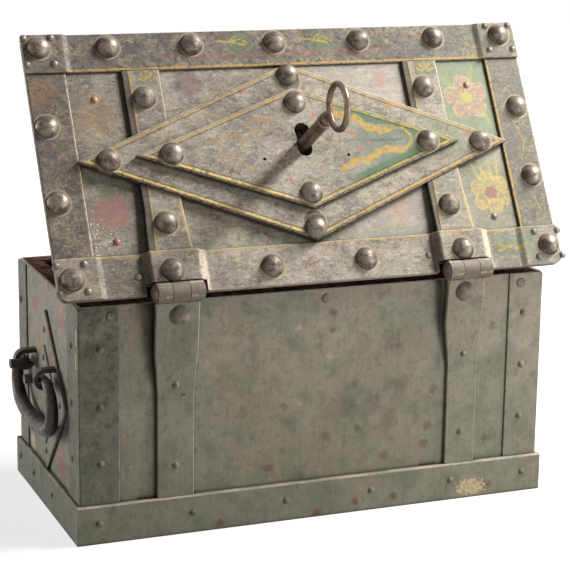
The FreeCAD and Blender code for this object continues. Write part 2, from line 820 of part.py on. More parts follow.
def lid_strap_lift(y):
    """Height of a lid strap's underside above the lid plate."""
    if y <= strap_rise_y:
        return 0.0
    return lid_strap_rise * (y - strap_rise_y) / (strap_end_y - strap_rise_y)


lid_rivets = {"dome_rivets": [], "lid_small_rivets": []}
lid_holes = []


def rivet_lid(group, x, y, seat_z, lean=0.0, under_z=None):
    """Adds a rivet that is hammered flush under the lid plate, or lower down."""
    head_r, head_h, shank_r = small_head_r, small_head_h, small_shank_r
    if group == "dome_rivets":
        head_r, head_h, shank_r = dome_r, dome_h, dome_shank_r
    outward = V(0, -math.sin(lean), math.cos(lean))
    point = V(x, y, seat_z)
    end_z = lid_z if under_z is None else under_z
    grip = (seat_z - end_z) / math.cos(lean) - shank_r * math.sin(lean)
    lid_rivets[group].append(placed(rivet(head_r, head_h, shank_r, grip), point, outward))
    lid_holes.append(shank_hole(point, outward, shank_r, grip))


def place_lid_rivets():
    front_y = lid_front_y + front_dome_inset
    back_y = hinge_y - back_dome_from_hinge
    half_width = lid_width / 2
    for x in front_dome_x:
        rivet_lid("dome_rivets", x, front_y, border_top)
    for x in back_dome_x:
        rivet_lid("dome_rivets", x, back_y, border_top)
    for name, side in (("right", 1), ("left", -1)):
        front_x = side * (half_width - front_corner_dome_inset[name])
        back_x = side * (half_width - back_corner_dome_inset[name])
        rivet_lid("dome_rivets", front_x, front_y, corner_top)
        rivet_lid("dome_rivets", back_x, back_y, corner_top)
        place_corner_rivets(front_x, front_y + corner_small_shift["front"])
        place_corner_rivets(back_x, back_y - corner_small_shift["back"])
        for forward in end_dome_from_middle:
            rivet_lid("dome_rivets", side * (half_width - end_dome_inset),
                      lid_middle_y - forward, border_top)
        rivet_lid("dome_rivets", lozenge_x + side * outer_lozenge_dome_x, lozenge_y, outer_top)
        rivet_lid("dome_rivets", lozenge_x, lozenge_y + side * outer_lozenge_dome_y, outer_top)
        rivet_lid("dome_rivets", lozenge_x + side * inner_lozenge_dome_x, inner_lozenge_y,
                  inner_top)
        rivet_lid("dome_rivets", lozenge_x, inner_lozenge_y + side * inner_lozenge_dome_y,
                  inner_top)
        for face in (1, -1):
            rivet_lid("lid_small_rivets", side * (lock_plate_x - panel_rivet_inset_x),
                      face * (lock_plate_y - panel_rivet_inset_y[face]), lid_top,
                      under_z=plate_z)

    slope = math.atan2(lid_strap_rise, strap_end_y - strap_rise_y)
    for name, x in lid_strap_x.items():
        for forward in strap_dome_from_middle:
            y = lid_middle_y - forward
            lift = lid_strap_lift(y)
            seat = lid_top + lift + lid_strap_t / math.cos(slope)
            rivet_lid("dome_rivets", x, y, seat, slope if lift > 0 else 0.0)
        rivet_lid("dome_rivets", bridge_centre(name) + bridge_dome_shift[name],
                  hinge_y - bridge_dome_from_hinge, bridge_top_back)
    for x in stray_rivet_x:
        rivet_lid("lid_small_rivets", x, hinge_y - stray_rivet_from_hinge, border_top)


def place_corner_rivets(x, y):
    for across in (1, -1):
        for along in (1, -1):
            rivet_lid("lid_small_rivets", x + across * corner_small_offset,
                      y + along * corner_small_offset, corner_top)


def bridge_centre(name):
    """Middle of the hinge end of a lid strap."""
    return (lid_strap_x[name] + hinge_x[name]) / 2


def rounded_run(points):
    """Edges along a run of points, with an arc at each bend."""
    edges = []
    start = points[0]
    for before, corner, after in zip(points, points[1:], points[2:]):
        back = (before - corner).normalize()
        ahead = (after - corner).normalize()
        half_angle = back.getAngle(ahead) / 2
        reach = bend_r / math.tan(half_angle)
        inward = (back + ahead).normalize()
        middle = corner + inward * (bend_r / math.sin(half_angle) - bend_r)
        edges.append(Part.makeLine(start, corner + back * reach))
        edges.append(Part.Arc(corner + back * reach, middle, corner + ahead * reach).toShape())
        start = corner + ahead * reach
    edges.append(Part.makeLine(start, points[-1]))
    return edges


def joggled_strip(levels, y0, y1, thickness):
    """A strip with rounded bends that follows (x, underside z) levels from -X to +X."""
    under = [V(x, y0, z) for x, z in levels]
    over = [V(x, y0, z + thickness) for x, z in levels]
    edges = rounded_run(under) + rounded_run(over)
    edges.append(Part.makeLine(under[0], over[0]))
    edges.append(Part.makeLine(under[-1], over[-1]))
    wire = Part.Wire(Part.__sortEdges__(edges))
    strip = Part.Face(wire).extrude(V(0, y1 - y0, 0))
    return bevelled(strip, V(0, 0, 1), V(0, 1, 0))


def border_levels(bridges):
    """Underside of a front or back border: over the end strips, and bridges over straps."""
    end = lid_width / 2
    inner = end - border_width_end - joggle_clear
    levels = [(-end, border_top), (-inner, border_top), (-inner + joggle_run, lid_top)]
    for centre in bridges:
        half = lid_strap_end_width / 2 + bridge_side_gap
        levels.append((centre - half - bridge_run["left"], lid_top))
        levels.append((centre - half, bridge_seat_back))
        levels.append((centre + half, bridge_seat_back))
        levels.append((centre + half + bridge_run["right"], lid_top))
    levels.extend([(inner - joggle_run, lid_top), (inner, border_top), (end, border_top)])
    return levels


def hinge_notches():
    cutters = []
    for x in hinge_x.values():
        half = barrel_length / 2 + 1.0
        tail = knuckle_gap + pin_head_h + 1.0
        cutters.append(box(x - half - tail, x + half + tail, hinge_y - notch_depth,
                           hinge_y + 20, lid_z - 5, hinge_z + 30))
    return cutters


def keyhole(z0, z1):
    """A bit slot of two round lobes with a waist for the shank."""
    top_y = key_y - keyhole_top_offset
    bottom_y = key_y - keyhole_bottom_offset
    lobes = cylinder(V(key_x, top_y, z0), V(0, 0, 1), keyhole_top_r, z1 - z0)
    lobes = lobes.fuse(cylinder(V(key_x, bottom_y, z0), V(0, 0, 1), keyhole_bottom_r, z1 - z0))
    waist = box(key_x - keyhole_waist, key_x + keyhole_waist, top_y, bottom_y, z0, z1)
    return lobes.fuse(waist)


def rhombus(half_across, half_along, y, z0, z1):
    outline = [(lozenge_x + half_across, y), (lozenge_x, y + half_along),
               (lozenge_x - half_across, y), (lozenge_x, y - half_along)]
    return prism_xy(outline, z0, z1)


def raised_lozenge(half_across, half_along, y, z0, z1):
    """A lozenge of sheet with turned-down edges: top sheet and rim, hollow beneath."""
    side = math.hypot(half_across, half_along)
    shrink = 1 - lozenge_sheet_t * side / (half_across * half_along)
    block = rhombus(half_across, half_along, y, z0, z1)
    top_edges = [edge for edge in block.Edges if abs(edge.CenterOfMass.z - z1) < 0.01]
    block = block.makeChamfer(lozenge_bevel, top_edges)
    hollow = rhombus(half_across * shrink, half_along * shrink, y,
                     z0 - 1, z1 - lozenge_sheet_t)
    return block.cut(hollow)


def lid_strap_plan(name):
    """Plan outline of a lid strap from the front border to the barrel."""
    x = lid_strap_x[name]
    near = bridge_centre(name)
    half = lid_strap_width / 2
    end_half = lid_strap_end_width / 2
    flare_y = hinge_y - lid_strap_flare_start
    flared_y = hinge_y - border_width_back
    notch_y = hinge_y - notch_depth
    barrel = barrel_length / 2
    return [(x - half, lid_strap_front_y), (x + half, lid_strap_front_y), (x + half, flare_y),
            (near + end_half, flared_y), (near + end_half, notch_y),
            (hinge_x[name] + barrel, notch_y), (hinge_x[name] + barrel, hinge_y),
            (hinge_x[name] - barrel, hinge_y), (hinge_x[name] - barrel, notch_y),
            (near - end_half, notch_y), (near - end_half, flared_y), (x - half, flare_y)]


def lid_strap(name):
    rise = lid_strap_lift(hinge_y)
    profile = [(lid_front_y, lid_top), (strap_rise_y, lid_top), (hinge_y, lid_top + rise),
               (hinge_y, lid_top + rise + lid_strap_t),
               (strap_rise_y, lid_top + lid_strap_t), (lid_front_y, lid_top + lid_strap_t)]
    width = barrel_length
    sheet = prism_yz(profile, hinge_x[name] - width, hinge_x[name] + width)
    plan = prism_xy(lid_strap_plan(name), lid_z, hinge_z + 20)
    strap = sheet.common(plan)
    half = middle_knuckle_length / 2 + knuckle_gap
    outer_half = barrel_length / 2
    for x0, x1 in ((hinge_x[name] - outer_half, hinge_x[name] - half),
                   (hinge_x[name] + half, hinge_x[name] + outer_half)):
        strap = strap.fuse(cylinder(V(x0, hinge_y, hinge_z), V(1, 0, 0), knuckle_r, x1 - x0))
    gap = box(hinge_x[name] - half, hinge_x[name] + half, hinge_y - notch_depth,
              hinge_y + 20, lid_z - 20, hinge_z + 20)
    bore = pin_bore(hinge_x[name] - barrel_length, hinge_x[name] + barrel_length,
                    pin_r + pin_running_gap)
    return drilled(strap.cut([gap, bore]), lid_holes)


def make_lid():
    place_lid_rivets()
    notches = hinge_notches()
    half_width = lid_width / 2

    plate = rounded_plate(half_width, lid_front_y, hinge_y, lid_z, lid_top, lid_corner_r)
    plate = plate.cut(notches + [keyhole(lid_z - 1, lid_top + 1)])
    keep_on_lid("lid_plate", drilled(plate, lid_holes))

    corners = rounded_plate(half_width, lid_front_y, hinge_y, lid_z, hinge_z + 30,
                            lid_corner_r)
    for name, side in (("right", 1), ("left", -1)):
        x0, x1 = sorted((side * half_width, side * (half_width - border_width_end)))
        strip = box(x0, x1, lid_front_y, hinge_y, lid_top, border_top)
        strip = bevelled(strip, V(0, 0, 1), V(1, 0, 0)).common(corners)
        keep_on_lid("lid_border_" + name, drilled(strip, lid_holes))
        keep_on_lid("lid_strap_" + name, lid_strap(name))

    levels = border_levels([])
    strip = joggled_strip(levels, lid_front_y, lid_front_y + border_width_front, border_t)
    keep_on_lid("lid_border_front", drilled(strip.common(corners), lid_holes))

    levels = border_levels([bridge_centre("left"), bridge_centre("right")])
    strip = joggled_strip(levels, hinge_y - border_width_back, hinge_y, border_t)
    strip = strip.common(corners).cut(notches)
    keep_on_lid("lid_border_back", drilled(strip, lid_holes))

    outer = raised_lozenge(outer_lozenge_half_x, outer_lozenge_half_y, lozenge_y,
                           lid_top, outer_top)
    channels = []
    for x in lid_strap_x.values():
        half = lid_strap_width / 2 + 0.5
        channels.append(box(x - half, x + half, lid_front_y, hinge_y,
                            lid_top - 1, outer_top - lozenge_sheet_t))
    for side in (1, -1):
        x0, x1 = sorted((side * (half_width - border_width_end - 0.4), side * half_width))
        channels.append(box(x0, x1, lid_front_y, hinge_y, lid_top - 1, border_top + layer_gap))
    outer = outer.cut(channels + [keyhole(lid_z, outer_top + 1)])
    keep_on_lid("outer_lozenge", drilled(outer, lid_holes))

    inner = raised_lozenge(inner_lozenge_half_x, inner_lozenge_half_y, inner_lozenge_y,
                           outer_top, inner_top)
    pin_holes = [cylinder(V(x, lid_middle_y + cover_pin_hole_behind, outer_top - 1),
                          V(0, 0, 1), cover_pin_hole_r, inner_lozenge_height + 2)
                 for x in cover_pin_hole_x]
    inner = inner.cut(pin_holes + [keyhole(outer_top - 1, inner_top + 1)])
    keep_on_lid("inner_lozenge", drilled(inner, lid_holes))

    for group, solids in lid_rivets.items():
        keep_on_lid(group, *solids)


# Lock
def frame_guide(centre, along, width, low, high, length):
    """A staple under the lock plate with a window that a bar slides through."""
    across = V(-along.y, along.x, 0)
    half = width / 2 + guide_gap
    outer = half + guide_wall
    blocks = []
    for reach, z0, z1, size in ((outer, low - guide_gap - guide_wall / 2, plate_z, length),
                                (half, low - guide_gap, high + guide_gap, length + 2)):
        corner = centre - across * reach - along * (size / 2)
        points = [corner, corner + across * 2 * reach,
                  corner + across * 2 * reach + along * size, corner + along * size]
        points = [V(point.x, point.y, z0) for point in points]
        blocks.append(prism(points, V(0, 0, z1 - z0)))
    return blocks[0].cut(blocks[1])


def slide_part(direction, noses, reach_tip, crossbar_inset):
    """One slide: a bar from the drive pin to a crossbar with two bolt noses."""
    crossbar_half = bolt_width / 2
    out = direction
    across = V(-out.y, out.x, 0)
    key = V(key_x, key_y, 0)
    along_key = key.dot(out)
    pin_at = along_key + slot_start_r
    crossbar_out = reach_tip - crossbar_inset + crossbar_width
    crossbar_in = reach_tip - crossbar_inset

    def block(out0, out1, across0, across1, z0, z1):
        corners = [out * out0 + across * across0, out * out1 + across * across0,
                   out * out1 + across * across1, out * out0 + across * across1]
        return prism([V(point.x, point.y, z0) for point in corners], V(0, 0, z1 - z0))

    middle = key.dot(across)
    half = bar_width / 2
    bar = block(pin_at, crossbar_in + 1, middle - half, middle + half, bar_z, bar_top)
    head_at = out * pin_at + across * middle
    head = cylinder(V(head_at.x, head_at.y, bar_z), V(0, 0, 1), half, bar_t)
    pin = cylinder(V(head_at.x, head_at.y, bar_z), V(0, 0, 1), drive_pin_r,
                   disc_top - 0.3 - bar_z)
    cross = block(crossbar_in, crossbar_out, noses[0] - crossbar_half,
                  noses[1] + crossbar_half, bar_z, bar_top)
    body = bar.fuse([head, pin, cross])
    for place in noses:
        nose = block(crossbar_out - 1, reach_tip, place - bolt_width / 2,
                     place + bolt_width / 2, bolt_z, bolt_top)
        heel = block(crossbar_in, crossbar_out, place - bolt_width / 2,
                     place + bolt_width / 2, bolt_z, bolt_top)
        slope_x = reach_tip - 4.0
        corner = out * slope_x
        wedge = [V(corner.x, corner.y, bolt_z - 1),
                 V((out * (reach_tip + 1)).x, (out * (reach_tip + 1)).y, bolt_z - 1),
                 V((out * (reach_tip + 1)).x, (out * (reach_tip + 1)).y, bolt_z + 4)]
        wedge = [point + across * (place - bolt_width) for point in wedge]
        nose = nose.fuse(heel).cut(prism(wedge, across * bolt_width * 2))
        body = body.fuse(nose)
    return body


def slide_layout():
    """Name, direction, nose places, tip reach, crossbar inset and guide place."""
    ends = ([-end_bolt_y, end_bolt_y], bolt_tip_x, end_crossbar_inset,
            mouth_x - end_guide_from_mouth)
    sides = ([-side_bolt_x, side_bolt_x], bolt_tip_y, side_crossbar_inset,
             mouth_y - side_guide_from_mouth)
    return [("right", V(1, 0, 0)) + ends, ("left", V(-1, 0, 0)) + ends,
            ("back", V(0, 1, 0)) + sides, ("front", V(0, -1, 0)) + sides]


def make_slides():
    guides = []
    for name, direction, noses, reach, inset, guide_at in slide_layout():
        keep_on_lid("bolt_slide_" + name, slide_part(direction, noses, reach, inset))
        across = V(-direction.y, direction.x, 0)
        for place in noses:
            centre = direction * guide_at + across * place
            guides.append(frame_guide(centre, direction, bolt_width,
                                      bolt_z, plate_z, guide_length))
        if direction.x != 0:
            centre = direction * bar_guide_x + V(0, key_y, 0)
            guides.append(frame_guide(centre, direction, bar_width, bar_z, bar_top,
                                      guide_length * 2))
    keep_on_lid("bolt_guides", *guides)


def spiral_slot(phase):
    """The slot that moves one drive pin out evenly as the rotor turns."""
    half = drive_pin_r + slot_gap
    steps = 8
    rise = math.radians(key_turn)

    def at(turn, offset):
        radius = slot_start_r + bolt_travel * turn / rise + offset
        angle = phase + turn
        return V(key_x + radius * math.cos(angle), key_y + radius * math.sin(angle),
                 disc_z - 1)

    turns = [rise * step / steps for step in range(steps + 1)]
    outer = Part.BSplineCurve()
    outer.interpolate([at(turn, half) for turn in turns])
    inner = Part.BSplineCurve()
    inner.interpolate([at(turn, -half) for turn in turns])
    ends = [Part.makeLine(at(0, -half), at(0, half)),
            Part.makeLine(at(rise, half), at(rise, -half))]
    wire = Part.Wire(Part.__sortEdges__([outer.toShape(), ends[1], inner.toShape(), ends[0]]))
    slot = Part.Face(wire).extrude(V(0, 0, rotor_disc_t + 2))
    for turn in (0, rise):
        slot = slot.fuse(cylinder(at(turn, 0), V(0, 0, 1), half, rotor_disc_t + 2))
    return slot


def make_rotor():
    centre = V(key_x, key_y, 0)
    hub = cylinder(centre + V(0, 0, rotor_z), V(0, 0, 1), rotor_hub_r, disc_top - rotor_z)
    journal = cylinder(centre + V(0, 0, disc_top - 1), V(0, 0, 1),
                       rotor_hub_r - rotor_running_gap, lid_z - bolt_gap - disc_top + 1)
    disc = cylinder(centre + V(0, 0, disc_z), V(0, 0, 1), disc_r, rotor_disc_t)
    rotor = disc.cut([spiral_slot(math.pi / 2 * quarter) for quarter in range(4)])
    rotor = rotor.fuse([hub, journal])
    bore = cylinder(centre + V(0, 0, rotor_floor_z), V(0, 0, 1), key_shank_r + key_fit, 30)
    bit_half = key_bit_t / 2 + key_fit
    slot = box(key_x - bit_half, key_x + bit_half, key_y - key_bit_reach - key_fit, key_y,
               rotor_floor_z, rotor_floor_z + 30)
    post_hole = cylinder(centre + V(0, 0, rotor_z - 1), V(0, 0, 1),
                         key_post_r + rotor_running_gap, 10)
    keep_on_lid("lock_rotor", rotor.cut([bore, slot, post_hole]))


def make_key():
    centre = V(key_x, key_y, 0)
    tip_z = rotor_floor_z + key_fit
    bow_z = inner_top + key_bow_distance
    ring_r = key_bow_outer_r - key_bow_wire_r
    shank_top = bow_z - ring_r
    outline = [(0, tip_z), (key_shank_r, tip_z), (key_shank_r, shank_top - 17),
               (key_shank_r + 1.1, shank_top - 16), (key_shank_r + 1.1, shank_top - 14),
               (key_shank_r, shank_top - 13), (key_shank_r - 0.4, shank_top - 9),
               (key_shank_r + 0.7, shank_top - 8), (key_shank_r + 0.7, shank_top - 6),
               (key_shank_r - 1.2, shank_top - 4), (key_shank_r - 2.4, shank_top), (0, shank_top)]
    wire = Part.makePolygon([centre + V(r, 0, z) for r, z in outline + outline[:1]])
    shank = Part.Face(wire).revolve(centre, V(0, 0, 1), 360)
    ring = Part.makeTorus(ring_r, key_bow_wire_r, centre + V(0, 0, bow_z), V(1, 0, 0))
    bit = box(key_x - key_bit_t / 2, key_x + key_bit_t / 2, key_y - key_bit_reach,
              key_y - key_shank_r + 1, tip_z, tip_z + key_bit_height)
    wards = []
    for z in (tip_z + 2.4, tip_z + 5.4):
        wards.append(box(key_x - 5, key_x + 5, key_y - key_bit_reach - 1,
                         key_y - key_bit_reach + 5, z, z + 1.3))
    bore = cylinder(centre + V(0, 0, tip_z - 1), V(0, 0, 1),
                    key_post_r + rotor_running_gap, 15)
    keep_on_lid("key", shank.fuse([ring, bit]).cut(wards + [bore]))


def petal(angle):
    """A lens-shaped window that points at the key."""
    outward = V(math.cos(angle), math.sin(angle), 0)
    across = V(-outward.y, outward.x, 0)
    middle = V(key_x, key_y, cover_z - 1) + outward * petal_ring_r
    reach = petal_arc_r - petal_half_width
    discs = [cylinder(middle + across * way * reach, V(0, 0, 1), petal_arc_r, cover_t + 2)
             for way in (1, -1)]
    return discs[0].common(discs[1])


def make_cover():
    outline = box(key_x - cover_x, key_x + cover_x, key_y - cover_y, key_y + cover_y,
                  cover_z, cover_top)
    holes = [petal(2 * math.pi * index / petals) for index in range(petals)]
    for side in (1, -1):
        for face in (1, -1):
            corner = V(key_x + side * cover_x, key_y + face * cover_y, cover_z - 1)
            holes.append(cylinder(corner, V(0, 0, 1), scallop_r, cover_t + 2))
            foil = V(key_x + side * quatrefoil_x, key_y + face * quatrefoil_y, cover_z - 1)
            lobes = [cylinder(foil + step * quatrefoil_offset, V(0, 0, 1), quatrefoil_r,
                              cover_t + 2)
                     for step in (V(1, 0, 0), V(-1, 0, 0), V(0, 1, 0), V(0, -1, 0))]
            holes.append(lobes[0].fuse(lobes[1:]))
    post_hole = cylinder(V(key_x, key_y, cover_z - 1), V(0, 0, 1),
                         key_post_r + pin_seat_gap, cover_t + 2)
    pillars = []
    for side in (1, -1):
        for face in (1, -1):
            foot = V(key_x + side * pillar_x, key_y + face * pillar_y, 0)
            post = cylinder(foot + V(0, 0, cover_top), V(0, 0, 1), pillar_r,
                            plate_z - cover_top)
            spigot = cylinder(foot + V(0, 0, cover_z), V(0, 0, 1), 2.0, cover_t)
            nut = rivet(3.6, 1.6, 1.9, 0.2)
            head = placed(nut, foot + V(0, 0, cover_z), V(0, 0, -1))
            pillars.append(post.fuse([spigot, head]))
            holes.append(cylinder(foot + V(0, 0, cover_z - 1), V(0, 0, 1),
                                  2.0 + shank_gap, cover_t + 2))
    keep_on_lid("lock_cover", outline.cut(holes + [post_hole]))
    keep_on_lid("cover_pillars", *pillars)

    post_top = rotor_floor_z + 12.0
    post = cylinder(V(key_x, key_y, cover_z), V(0, 0, 1), key_post_r, post_top - cover_z)
    button = placed(rivet(7.0, 2.2, key_post_r, 0.2), V(key_x, key_y, cover_z), V(0, 0, -1))
    keep_on_lid("key_post", post.fuse(button))


def spring_blade(side, face):
    """A bowed blade on two posts that presses on the flank of an end slide's bar."""
    flank = key_y + face * (bar_width / 2 + spring_touch_gap)
    centre_x = side * spring_x
    span = spring_half_length
    radius = (span ** 2 + spring_sag ** 2) / (2 * spring_sag)
    middle_y = flank + face * radius
    blade = cylinder(V(centre_x, middle_y, bar_z), V(0, 0, 1), radius, spring_height)
    blade = blade.cut(cylinder(V(centre_x, middle_y, bar_z - 1), V(0, 0, 1),
                               radius - spring_t, spring_height + 2))
    y0, y1 = sorted((flank - face, flank + face * spring_sag))
    window = box(centre_x - span, centre_x + span, y0, y1, bar_z - 1, bar_z + 20)
    blade = blade.common(window)
    solids = blade.Solids[0]
    for end in (1, -1):
        post_y = flank + face * (spring_sag - 0.5)
        post = cylinder(V(centre_x + end * spring_post_x, post_y, bar_z - 0.5), V(0, 0, 1),
                        spring_post_r, plate_z - bar_z + 0.5)
        solids = solids.fuse(post)
    return solids


def make_lock_plate():
    plate = box(-lock_plate_x, lock_plate_x, -lock_plate_y, lock_plate_y, plate_z, lid_z)
    journal_hole = cylinder(V(key_x, key_y, plate_z - 1), V(0, 0, 1),
                            rotor_hub_r, lock_plate_t + 2)
    keep_on_lid("lock_plate", drilled(plate.cut(journal_hole), lid_holes))
    springs = [spring_blade(side, face) for side in (1, -1) for face in (1, -1)]
    keep_on_lid("slide_springs", *springs)


def write_parts():
    os.makedirs("parts", exist_ok=True)
    for name, shape in parts.items():
        shape.exportStep("parts/" + name + ".step")


make_box_shell()
make_wall_straps()
for group_name, group_solids in box_rivets.items():
    keep(group_name, *group_solids)
make_handles()
make_lid()
make_lock_plate()
make_slides()
make_rotor()
make_key()
make_cover()
write_parts()
print(len(parts), "nodes,", sum(len(shape.Solids) for shape in parts.values()), "solids")
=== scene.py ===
import math

import bpy
from mathutils import Matrix, Vector

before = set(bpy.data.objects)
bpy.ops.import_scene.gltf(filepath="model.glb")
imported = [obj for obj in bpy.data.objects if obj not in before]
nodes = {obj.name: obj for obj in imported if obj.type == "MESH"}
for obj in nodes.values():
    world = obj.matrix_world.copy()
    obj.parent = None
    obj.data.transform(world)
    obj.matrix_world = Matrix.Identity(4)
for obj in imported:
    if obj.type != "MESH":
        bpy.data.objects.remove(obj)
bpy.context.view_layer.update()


def tint(red, green, blue):
    """A colour given in screen values from 0 to 255."""
    linear = []
    for part in (red, green, blue):
        part /= 255.0
        linear.append(part / 12.92 if part <= 0.04045 else ((part + 0.055) / 1.055) ** 2.4)
    return (*linear, 1.0)


# Camera, fitted to the photograph
YAW = math.radians(21.822)
PITCH = math.radians(13.460)
ROLL = math.radians(0.780)
CAMERA_AT = Vector((0.6495, 1.6401, 0.6199))
LENS_MM = 118.44
SENSOR_MM = 36.0
CLIP_END = 20.0

# Rectangular lamps: name, place, size, direction of the long side, power. The key light hangs high
# off the chest's left end, the side light stands low behind that end, and the fill light low off
# the front right corner.
CHEST_MIDDLE = Vector((0.0, 0.05, 0.2))
UPRIGHT = Vector((0, 0, 1))
LAMPS = [("key_light", CHEST_MIDDLE + 1.7 * Vector((-0.69, 0.08, 0.72)), (0.26, 0.75),
          Vector((0.37, 0.91, 0.17)), 66.0),
         ("side_light", CHEST_MIDDLE + Vector((-0.92, 0.85, 0.02)), (0.5, 0.5), UPRIGHT, 9.5),
         ("fill_light", Vector((2.0, -1.2, 0.36)), (0.9, 0.9), UPRIGHT, 34.0)]
WORLD_STRENGTH = 0.04

# Floor, in metres; it glows for the rays that show the background, fully so away from the chest
FLOOR_HALF = 6.0
FLOOR_Z = -0.0002
FLOOR_GREY = tint(150, 150, 149)
FLOOR_GLOW = 0.74
FLOOR_GLOW_SPAN = (0.35, 0.9)
WHITE = (1, 1, 1, 1)

# Frame of the lid, in millimetres: the lid is drawn open, and painted as if closed
HINGE_Y = 118.0
HINGE_Z = 229.0
LID_OPEN = math.radians(60.0)
LID_UNDERSIDE = 218.3
BORDER_FRONT_EDGE = -95.0
BORDER_BACK_EDGE = 79.5
BORDER_END_EDGE = 210.5
BORDER_LINE_ENDS = (212, 208)
STRAP_MIDDLE = {"right": 140.8, "left": -139.5}
STRAP_WIDENS = (30, 100)
STRAP_HALF_WIDTHS = (17.5, 20.5)
STRAP_END_Y = 103
# Half the length, half the width and the middle's y
LOZENGES = {"outer": (213.5, 86.5, -8.0), "inner": (160.5, 59.0, -9.2)}
BEVEL_INSET = (2.0, 1.4)
LINE_INSET = 3.0
DARK_LINE_INSET = 4.9
DOME_RING = 11.6
DOME_REACH = 24

# Frame of the box, in millimetres
BOX_INSIDE_X = 226.4
BOX_INSIDE_Y = 104.4
END_FACE_X = 229.0
BARREL_Z = (218.5, 220.5)
STRAP_SHADE_X = [middle + 26.0 for middle in STRAP_MIDDLE.values()] + [-204.0]

# Where the masks of outer edges, of corners and of the spaces beside the wall straps begin and are
# full; corners are darkened as dirt and painted shade, the spaces beside the straps as a painted
# shadow
EDGE_BEND = (0.03, 0.20)
EDGE_OPEN = (0.80, 0.96)
CORNER_OPEN = (0.86, 0.40)
STRAP_SIDE_OPEN = (0.97, 0.62)
STRAP_SIDE_REACH = 0.014

# Painted ornament
OCHRE = tint(186, 150, 72)
OCHRE_BRIGHT = tint(222, 186, 98)
OCHRE_PALE = tint(196, 172, 112)
OCHRE_BROWN = tint(170, 138, 92)
GREEN = tint(94, 116, 84)
GREEN_DEEP = tint(58, 98, 76)
GREEN_GREY = tint(104, 116, 104)
GREEN_YELLOW = tint(176, 186, 118)
PINK = tint(170, 118, 104)
PINK_DOT = tint(172, 108, 100)
ROSE = tint(150, 84, 80)
PURPLE = tint(104, 74, 78)
CREAM = tint(206, 190, 158)
# Painted shade for the lozenges' bevels
BEVEL_SHADE = tint(64, 54, 42)
PANEL_GREEN = tint(126, 138, 112)
PANEL_LOW = tint(124, 128, 108)
PANEL_PALE = tint(172, 166, 144)
PLATE_GREY = tint(180, 172, 162)
PLATE_ROSE = tint(150, 108, 98)
PLATE_BROWN = tint(150, 120, 84)
PLATE_SPECKS = tint(226, 220, 204)
LEAF_GREEN = tint(146, 158, 98)
STEM_GREEN = tint(132, 140, 104)
LOZENGE_SHADE = tint(112, 116, 98)
# Painted shade for the straps' left edges
STRAP_BEVEL_SHADE = tint(70, 62, 52)

# A flower: its centre, petals, their reach and radius, turn; the colours of its petals' fill,
# their outline and its heart; the shares of fill and outline; the heart's edge and share
PINK_FLOWER = ((-184, -56), (5, 14.5, 9.4, 0.2), (tint(176, 124, 108), tint(190, 158, 138)),
               tint(198, 176, 150), tint(176, 170, 98), (0.75, 0.4), (7.0, 4.6), 0.8)
OCHRE_FLOWER = ((-189, 42), (6, 14.0, 7.8, 0.4), (tint(170, 146, 98), tint(190, 168, 116)),
                tint(196, 164, 84), tint(144, 104, 92), (0.8, 0.7), (7.6, 5.2), 0.75)

# Wear, dirt, painted shade and highlight, and bare metal
DUST = tint(172, 158, 132)
RUST = tint(116, 66, 48)
# Dark for dirt, and for painted shade in corners and creases and beside the straps
DIRT_AND_SHADE = tint(30, 26, 21)
# Pale for worn edges, and for the painted highlights on bevels and on the plinth's top
WORN_EDGE_AND_HIGHLIGHT = tint(190, 172, 152)
BARE_IRON = tint(132, 126, 116)
MOSS = tint(92, 102, 82)
BRUSHED_DARK = tint(74, 68, 58)
BRUSHED_PALE = tint(178, 168, 146)
WALL_RUST_TINT = tint(104, 72, 58)
WALL_DARK_TINT = tint(80, 74, 66)
PLINTH_RUST_TINT = tint(110, 72, 56)
PLASTER = (tint(196, 178, 142), tint(158, 134, 96))
STRAP_PALE = tint(142, 138, 120)
KNUCKLE = tint(122, 110, 100)
LID_BARREL = tint(112, 100, 88)
LID_LEFT_SIDE = tint(126, 124, 108)
LID_RIGHT_SIDE = tint(92, 84, 80)
BORDER_RUST = tint(140, 98, 66)
BOX_LINING = (tint(84, 52, 42), tint(46, 32, 27))
RIM_LINING = (tint(96, 72, 62), tint(54, 41, 35))
LID_LINING = (tint(98, 66, 50), tint(64, 44, 36))
CRAZING = [(15.0, OCHRE_PALE, 0.5), (9.0, tint(196, 186, 168), 0.35),
           (7.0, tint(60, 52, 46), 0.4)]

# Sockets of a Mix node that mixes colours
MIX_A, MIX_B, MIX_RESULT = 6, 7, 2


